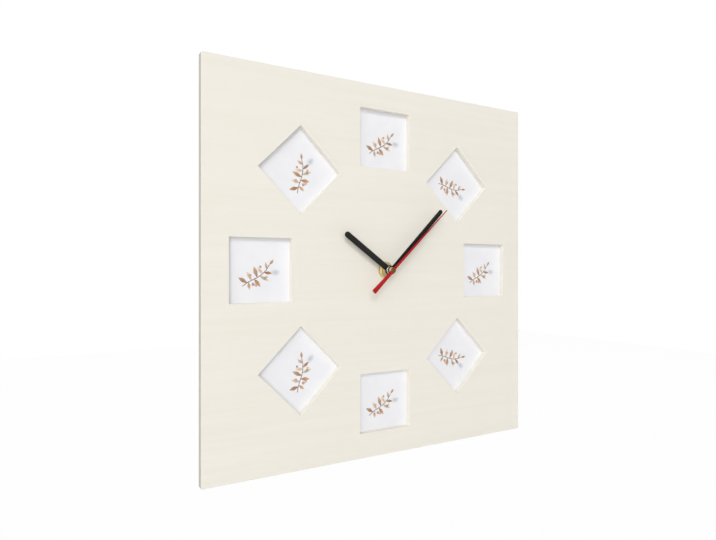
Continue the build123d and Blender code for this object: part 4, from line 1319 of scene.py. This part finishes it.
@dataclass
class Movement:
    """Moulded case and cover with the setting knob."""

    side: float = 56.0
    corner: float = 4.0
    wall: float = 1.4
    front_edge: float = 0.5
    case_edge: float = 0.15
    cover_edge: float = 0.3
    bay_top: float = -11.9
    partition_top: float = -10.9
    knob_axis: Point = (-9.021, 15.625)
    knob_radius: float = 7.0
    knob_rear: float = -0.3
    knob_front: float = -1.9
    knob_dish: float = 0.35
    knob_ring: Point = (4.6, 5.1)
    knob_edge: Point = (0.2, 0.15)
    knob_steps: int = 144
    pointer: tuple[float, float, float, float] = (0.4, 0.6, 0.8, 3.8)
    shaft: float = 1.2
    shaft_play: float = 0.05
    shaft_front: float = -14.3
    cup_radius: float = 7.8
    cup_floor: float = -2.1
    cup_front: float = -3.3
    cup_wall: float = 1.0
    lip: float = 1.0
    lip_depth: float = 1.5
    lip_overlap: float = 0.4
    top_lip: float = 10.0
    side_lip: float = 5.0
    grips: int = 24
    grip_radius: float = 0.45
    grip_steps: int = 16
    flange_recess: float = 5.7
    contact_slot: Point = (-6.6, 0.5)
    latch_planes: Point = (-5.6, -3.4)
    latch_depth: float = 0.6
    side_latch: Point = (1.5, 7.5)
    top_latch: float = 4.0
    label_low: Corner = (4.0, -0.25, 3.0)
    label_high: Corner = (24.5, 1.0, 12.0)
    label_corner: float = 1.2
    # The turning arrow: its band's radii and depth, what is kept of the band, and the size, direction
    # and turn of its head
    arrow_band: Point = (10.0, 11.2)
    arrow_floor: float = -0.2
    arrow_left: float = 2.0
    arrow_span: Point = (-9.0, 5.0)
    arrow_head: tuple[float, float, float] = (1.9, 65.0, -25.0)
    foot_plane: float = -14.9
    # Places and steps of the posts of the bridge, the stator and the board, of three pivot bosses and
    # of the motion wheel's post
    posts: tuple[tuple[tuple[Point, ...], tuple[Point, ...]], ...] = (
        (((-23.52, -7.56), (23.52, -7.56), (-23.52, 15.4), (7.98, 14.84)),
         ((1.3, -5.8), (0.8, -5.8), (0.8, -4.3), (0.7, -4.2))),
        (((4.7, 20.5), (23.5, 20.5)), ((1.3, -10.0), (0.8, -10.0), (0.8, -7.7), (0.7, -7.6))),
        (((-20.16, 22.68), (0.56, 24.08), (23.8, 24.78)), ((1.3, -4.8),)),
        (((-9.904, 3.605),), ((1.1, -11.9), (0.45, -11.9), (0.45, -12.9))),
        (((10.374, 3.776),), ((1.1, -9.1), (0.45, -9.1), (0.45, -10.1))),
        (((18.619, 8.536),), ((1.1, -11.1), (0.45, -11.1), (0.45, -12.1))),
        (((-1.667, 9.454),), ((0.8, -12.0), (0.7, -11.9))),
    )
    knob_boss: tuple[float, float, float] = (1.25, 2.1, -13.3)
    pinion_teeth: int = 12
    pinion_root: float = 1.9
    pinion_tip: float = 2.8
    pinion_front: float = -12.9
    pinion_width: float = 1.0
    tooth_direction: float = 160.0
    root_share: float = 0.25
    tip_share: float = 0.1

    def rounded(self, half: float, radius: float, rear: float, front: float, low: float | None = None,
                high: float | None = None) -> Piece:
        """Make a block with rounded corners where it meets the case's own corners.

        Args:
            half: Half its width.
            radius: The corner radius.
            rear: Its rear plane.
            front: Its front plane.
            low: Its lower edge, or None for the full height.
            high: Its upper edge, or None for the full height.

        Returns:
            The block.
        """
        bottom = -half if low is None else low
        top = half if high is None else high
        piece = block((-half, front, bottom), (half, rear, top))
        heights = [height for height, limit in ((bottom, low), (top, high)) if limit is None]
        round_edges(piece, radius, CORNER_STEPS, on_line("y", *heights))
        return piece

    def case(self) -> Piece:
        """Make the case: walls, cell bay, partition, latch windows, contact slots and posts."""
        half = self.side / 2
        inner = half - self.wall
        inner_corner = self.corner - self.wall
        out, through = COVER_FRONT + CUT_OVERRUN, CASE_FRONT - CUT_OVERRUN
        case = self.rounded(half, self.corner, COVER_FRONT, CASE_FRONT)
        round_edges(case, self.front_edge, steps=3, test=in_plane(CASE_FRONT))
        room = self.rounded(inner, inner_corner, out, BAY_FLOOR, low=self.partition_top)
        bay = self.rounded(inner, inner_corner, out, BAY_FLOOR, high=self.bay_top)
        combine(case, [room, bay], "DIFFERENCE")
        tools = [lathe([
            (0, out), (self.flange_recess, out), (self.flange_recess, FLANGE_FRONT),
            (NECK_RADIUS, FLANGE_FRONT), (NECK_RADIUS, through), (0, through),
        ])]
        slot_front, slot_depth = self.contact_slot
        front, rear = self.latch_planes
        low, high = self.side_latch
        latch, latch_out = inner - self.latch_depth, half + CUT_OVERRUN
        for side in (-1, 1):
            tools.append(block(
                (side * inner, slot_front, self.bay_top - SHORT_OVERRUN),
                (side * (inner - slot_depth), out, self.partition_top + SHORT_OVERRUN),
            ))
            tools.append(block((side * latch, front, low), (side * latch_out, rear, high)))
        tools.append(block((-self.top_latch, front, latch), (self.top_latch, rear, latch_out)))
        combine(case, tools, "DIFFERENCE")
        combine(case, self.rising_posts(), "UNION")
        ease(case, self.case_edge)
        return case

    def rising_posts(self) -> list[Piece]:
        """Turn the posts, pins and bosses that stand on the case's floor."""
        foot = self.foot_plane
        posts = [
            lathe([(0, foot), (steps[0][0], foot), *steps, (0, steps[-1][1])], SMALL_ROUND, place=place)
            for places, steps in self.posts for place in places
        ]
        bore, radius, rear = self.knob_boss
        ring = [(bore, foot), (radius, foot), (radius, rear), (bore, rear)]
        posts.append(lathe(ring, SMALL_ROUND, place=self.knob_axis))
        return posts

    def cover(self) -> Piece:
        """Make the rear cover: cell opening, knob cup, clip lips, a turning arrow and a blank label field."""
        half = self.side / 2
        inner = half - self.wall
        reach = inner - 0.1
        root, tip = COVER_FRONT + self.lip_overlap, COVER_FRONT - self.lip_depth
        cover = self.rounded(half, self.corner, 0, COVER_FRONT)
        cup = rod(self.knob_axis, self.cup_radius + self.cup_wall, root, self.cup_front)
        combine(cover, [cup], "UNION")
        lips = [block((-self.top_lip, tip, reach - self.lip), (self.top_lip, root, reach))]
        for side in (-1, 1):
            lips.append(block(
                (side * reach, tip, -self.side_lip), (side * (reach - self.lip), root, self.side_lip),
            ))
        combine(cover, lips, "UNION")
        opening = self.rounded(
            inner, self.corner - self.wall, CUT_OVERRUN, COVER_FRONT - CUT_OVERRUN, high=self.bay_top,
        )
        hollow = rod(self.knob_axis, self.cup_radius, CUT_OVERRUN, self.cup_floor)
        label = block(self.label_low, self.label_high)
        round_edges(label, self.label_corner, steps=4, test=on_line("y"))
        combine(cover, [opening, hollow, label], "DIFFERENCE")
        shaft = rod(
            self.knob_axis, self.shaft + self.shaft_play, self.cup_floor + CUT_OVERRUN / 2,
            self.cup_front - CUT_OVERRUN, SMALL_ROUND,
        )
        combine(cover, [shaft], "DIFFERENCE")
        ease(cover, self.cover_edge, steps=3, angle=60.0)
        combine(cover, [self.arrow()], "DIFFERENCE")
        return cover

    def arrow(self) -> Piece:
        """Make the cutter of the turning arrow: an arc beside the knob cup, with its head."""
        x, z = self.knob_axis
        (inner, outer), deep = self.arrow_band, self.arrow_floor
        arc = lathe(
            [(inner, deep), (outer, deep), (outer, CUT_OVERRUN), (inner, CUT_OVERRUN)], place=self.knob_axis,
        )
        low, high = self.arrow_span
        keep = block(
            (x + self.arrow_left, deep - CUT_OVERRUN, z + low),
            (x + outer + CUT_OVERRUN, 2 * CUT_OVERRUN, z + high),
        )
        combine(arc, [keep], "INTERSECT")
        radius, direction, tilt = self.arrow_head
        across, up = polar((inner + outer) / 2, direction)
        place = (x + across, z + up)
        head = rod(place, radius, CUT_OVERRUN, deep, sides=3)
        turn(head, tilt, place)
        combine(arc, [head], "UNION")
        return arc

    def knob(self) -> Piece:
        """Make the setting knob: a gripped disc with a dished face and a pointer, on its shaft."""
        x, z = self.knob_axis
        rim, rear, front = self.knob_radius, self.knob_rear, self.knob_front
        dish, (dish_floor, dish_rim) = rear - self.knob_dish, self.knob_ring
        rear_edge, front_edge = self.knob_edge
        knob = lathe([
            (0, dish), (dish_floor, dish), (dish_rim, rear), (rim - rear_edge, rear),
            (rim, rear - rear_edge), (rim, front + front_edge), (rim - front_edge, front),
            (self.shaft, front), (self.shaft, self.shaft_front), (0, self.shaft_front),
        ], self.knob_steps, place=self.knob_axis)
        notches = []
        for index in range(self.grips):
            across, up = polar(rim, 360 * index / self.grips)
            notches.append(rod(
                (x + across, z + up), self.grip_radius, CUT_OVERRUN, front - SHORT_OVERRUN, self.grip_steps,
            ))
        combine(knob, notches, "DIFFERENCE")
        half, deep, low, high = self.pointer
        pointer = block((x - half, rear - deep, z + low), (x + half, CUT_OVERRUN, z + high))
        combine(knob, [pointer], "DIFFERENCE")
        combine(knob, [self.pinion()], "UNION")
        return knob

    def pinion(self) -> Piece:
        """Make the toothed wheel on the knob's shaft, in mesh with the motion wheel."""
        x, z = self.knob_axis
        corners = (
            (self.pinion_root, -self.root_share), (self.pinion_tip, -self.tip_share),
            (self.pinion_tip, self.tip_share), (self.pinion_root, self.root_share),
        )
        outline = []
        for tooth in range(self.pinion_teeth):
            for radius, share in corners:
                across, up = polar(radius, self.tooth_direction + (tooth + share) * 360 / self.pinion_teeth)
                outline.append((x + across, self.pinion_front, z + up))
        piece = trace(outline, closed=True)
        with editing(piece, "VERT", "SELECT"):
            bpy.ops.mesh.edge_face_add()
            bpy.ops.mesh.extrude_region_move(TRANSFORM_OT_translate={"value": mm(0, self.pinion_width, 0)})
        face_out(piece)
        return piece

    def build(self) -> None:
        """Model the movement's outside."""
        finish(self.case(), "moulded_case", Look.ABS, Body.FRAME, "movement_case")
        finish(self.cover(), "moulded_cover", Look.ABS, Body.FRAME, "rear_cover")
        finish(self.knob(), "gripped_knob", Look.ABS, Body.KNOB, "setting_knob")


@dataclass
class Cell:
    """AA cell: a steel can in a shrunk sleeve, with a crimped plus end."""

    start_x: float = -26.15
    nub_length: float = 1.0
    length: float = 49.2
    radius: float = 7.1
    nub_radius: float = 2.6
    sleeve: float = 0.15
    sleeve_play: float = 0.02
    lap: float = 1.5
    axis: Point = (-7.35, -19.25)
    # Profile points, each given from a radius and from the nub's start, the shoulder or the minus end
    nub_start: tuple[Point, ...] = ((-0.5, 0.0), (-0.15, 0.12), (0.0, 0.5))
    nub_foot: tuple[Point, ...] = ((0.0, 0.1), (0.5, 0.3))
    plus_crimp: tuple[Point, ...] = ((-1.6, 0.3), (-1.2, 0.05), (-0.5, 0.12), (0.0, 0.6))
    minus_crimp: tuple[Point, ...] = (
        (0.0, -0.6), (-0.5, -0.1), (-1.4, -0.05), (-1.7, -0.3), (-2.4, -0.3), (-2.8, 0.0),
    )
    outer_fold: tuple[Point, ...] = ((-0.55, 0.0), (-0.15, 0.22), (0.0, 0.6))
    inner_folds: tuple[Point, ...] = ((-0.5, -0.12), (0.0, -0.62))
    inner_plus_fold: tuple[Point, ...] = ((0.0, 0.62), (-0.5, 0.1))
    lap_planes: tuple[float, float, float, float] = (-0.02, 0.02, -0.06, 0.04)

    def build(self) -> None:
        """Turn the can and its sleeve."""
        start, nub = self.start_x, self.nub_radius
        shoulder = start + self.nub_length
        end = shoulder + self.length
        outer, can = self.radius, self.radius - self.sleeve
        piece = lathe([
            (0, start), *offset(self.nub_start, nub, start), *offset(self.nub_foot, nub, shoulder),
            *offset(self.plus_crimp, can, shoulder), *offset(self.minus_crimp, can, end), (0, end),
        ], along_x=True, place=self.axis)
        finish(piece, "cell_can", Look.NICKEL, Body.FRAME, "battery")
        inner, lap = can + self.sleeve_play, outer - self.lap
        before, past, behind, inside = self.lap_planes
        minus_fold = [(across, -along) for across, along in reversed(self.outer_fold)]
        piece = lathe([
            (lap, shoulder + before), *offset(self.outer_fold, outer, shoulder),
            *offset(minus_fold, outer, end), (lap, end + past), (lap, end + behind),
            *offset(self.inner_folds, inner, end), *offset(self.inner_plus_fold, inner, shoulder),
            (lap, shoulder + inside),
        ], along_x=True, place=self.axis)
        finish(piece, "cell_sleeve", Look.SLEEVE, Body.FRAME, "battery")


@dataclass
class Hanger:
    """Steel strip clamped round the bushing, bent back over the case, with a nail hole."""

    half_width: float = 10.0
    sheet: float = 0.8
    front_plane: float = -16.4
    tab_plane: float = -3.4
    low: float = -12.0
    shelf: float = 28.9
    top: float = 43.5
    low_corner: float = 1.0
    tab_corner: float = 5.0
    nail_z: float = 36.8
    nail_hole: float = 3.0
    bend: float = 1.1
    edge: float = 0.1

    def build(self) -> None:
        """Draw the strip out along its path, bend it, thicken it and drill it."""
        half = self.half_width
        piece = trace([
            (-half, self.front_plane, self.low), (-half, self.front_plane, self.shelf),
            (-half, self.tab_plane, self.shelf), (-half, self.tab_plane, self.top),
        ])
        draw_out(piece, 2 * half, 0, 0)
        for height, radius in ((self.top, self.tab_corner), (self.low, self.low_corner)):
            round_corners(piece, radius, lambda corners: abs(corners[0].z - height) < NEAR)
        round_edges(piece, self.bend, steps=6, test=on_line("x", self.shelf))
        modify(piece, "SOLIDIFY", thickness=self.sheet * MM, offset=0, use_even_offset=True)
        face_out(piece)
        reach = 2 * CUT_OVERRUN
        combine(piece, [
            rod((0, self.nail_z), self.nail_hole, self.tab_plane + reach, self.tab_plane - reach),
            rod(CENTRE, NECK_RADIUS, self.front_plane + reach, self.front_plane - reach),
        ], "DIFFERENCE")
        ease(piece, self.edge)
        finish(piece, "bent_hanger", Look.ZINC, Body.FRAME, "wall_hanger")


@dataclass
class Works:
    """The solids that stay as they are, inside the movement, and get their finishes."""

    dressed: tuple[tuple[Look, tuple[str, ...]], ...] = (
        (Look.NICKEL, ("positive_contact", "negative_contact")),
        (Look.LAMINATE, ("circuit_board",)),
        (Look.WIRE, ("motor_coil",)),
        (Look.CORE_STEEL, ("stator",)),
        (Look.ACETAL, (
            "bridge_plate", "rotor", "intermediate_wheel", "seconds_wheel", "third_wheel", "minute_wheel",
            "minute_pipe", "motion_wheel", "hour_wheel",
        )),
    )

    def build(self) -> None:
        """Dress each solid that is shown."""
        for look, names in self.dressed:
            for name in names:
                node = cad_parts[name]
                node.data.materials.clear()
                node.data.materials.append(material_for(look))
                LOG.info("%s: solid kept, dressed in %s", name, look.value.name)


# The studio


def hang(name: str, data: bpy.types.ID, place: Corner, direction: Vector) -> Piece:
    """Put a lamp or a camera in the scene, facing along a direction."""
    thing = bpy.data.objects.new(name, data)
    bpy.context.scene.collection.objects.link(thing)
    thing.location = place
    thing.rotation_euler = direction.to_track_quat("-Z", "Y").to_euler()
    return thing


@dataclass(frozen=True)
class Lamp:
    """A square softbox that faces the clock: its name, place and side in metres, and its power."""

    name: str
    place: Corner
    size: float
    power: float

    def build(self) -> None:
        """Hang the lamp and aim it at the middle of the panel."""
        data = bpy.data.lights.new(self.name, "AREA")
        data.shape = "SQUARE"
        data.size = self.size
        data.energy = self.power
        hang(self.name, data, self.place, Vector(mm(0, PANEL_FRONT, 0)) - Vector(self.place))


@dataclass
class Studio:
    """White surroundings, softboxes on the left, in front and behind, and the photograph's camera."""

    floor_height: float = -0.46
    floor_size: float = 6.0
    floor_colour: str = "F8F8F8"
    ambient: float = 0.345
    floor_white_share: float = 0.97
    lamps: tuple[Lamp, ...] = (
        Lamp("key_softbox", (-2.54, -5.12, 3.07), 1.76, 100.0),
        Lamp("front_fill_softbox", (-1.44, -4.63, 1.6), 2.56, 26.0),
        Lamp("left_fill_softbox", (-3.2, -2.55, 1.6), 2.08, 29.5),
        Lamp("camera_fill_softbox", (-1.95, -3.4, 0.1), 1.2, 20.5),
        Lamp("rear_softbox", (1.2, 2.4, 1.0), 1.2, 24.0),
    )
    camera_place: Corner = (-0.24920, -0.40928, 0.00008)
    camera_direction: Corner = (0.50103, 0.86543, 0.0004)
    lens: float = 28.22
    sensor: float = 36.0

    def seen_directly(self, tree: Tree) -> Source:
        """Return a node that is one for camera, mirror and glass rays."""
        rays = add(tree, "LightPath").outputs
        first = {0: rays["Is Camera Ray"], 1: rays["Is Glossy Ray"]}
        second = {0: add(tree, "Math", first, operation="MAXIMUM"), 1: rays["Is Transmission Ray"]}
        return add(tree, "Math", second, operation="MAXIMUM")

    def build_world(self) -> None:
        """Light the clock evenly and show white behind it."""
        world = bpy.data.worlds.new("white_studio")
        bpy.context.scene.world = world
        tree = empty_tree(world)
        even = (self.ambient, self.ambient, self.ambient, 1.0)
        colour = add(tree, "Mix", {0: self.seen_directly(tree), 6: even, 7: "FFFFFF"}, data_type="RGBA")
        background = add(tree, "Background", {"Color": colour.outputs[2], "Strength": 1.0})
        add(tree, "OutputWorld", {"Surface": background})

    def build_floor(self) -> None:
        """Lay a plain pale floor that fades to white where it is seen directly."""
        bpy.ops.mesh.primitive_plane_add(size=self.floor_size, location=(0, 0, self.floor_height))
        floor = bpy.context.active_object
        floor.name = "studio_floor"
        material = bpy.data.materials.new("pale_studio_floor")
        tree = empty_tree(material)
        matt = add(tree, "BsdfDiffuse", {"Color": self.floor_colour})
        white = add(tree, "Emission", {"Color": "FFFFFF", "Strength": 1.0})
        shares = {0: self.seen_directly(tree), 1: self.floor_white_share}
        share = add(tree, "Math", shares, operation="MULTIPLY")
        add(tree, "OutputMaterial", {"Surface": add(tree, "MixShader", {0: share, 1: matt, 2: white})})
        floor.data.materials.append(material)

    def build_camera(self) -> None:
        """Set the camera where the photograph was taken from."""
        data = bpy.data.cameras.new("photograph_camera")
        data.lens = self.lens
        data.sensor_width = self.sensor
        data.clip_start = 0.01
        camera = hang(data.name, data, self.camera_place, Vector(self.camera_direction))
        bpy.context.scene.camera = camera

    def build(self) -> None:
        """Set up the surroundings, the lamps and the camera."""
        bpy.context.scene.view_settings.view_transform = "Standard"
        self.build_world()
        self.build_floor()
        for lamp in self.lamps:
            lamp.build()
        self.build_camera()


def main() -> None:
    """Build the clock's pieces in order, then the studio."""
    logging.basicConfig(level=logging.INFO, format="%(name)s %(message)s")
    for assembly in (Panel(), Pictures(), Hands(), Clamp(), Movement(), Cell(), Hanger(), Works()):
        assembly.build()
    Studio().build()


if __name__ == "__main__":
    main()
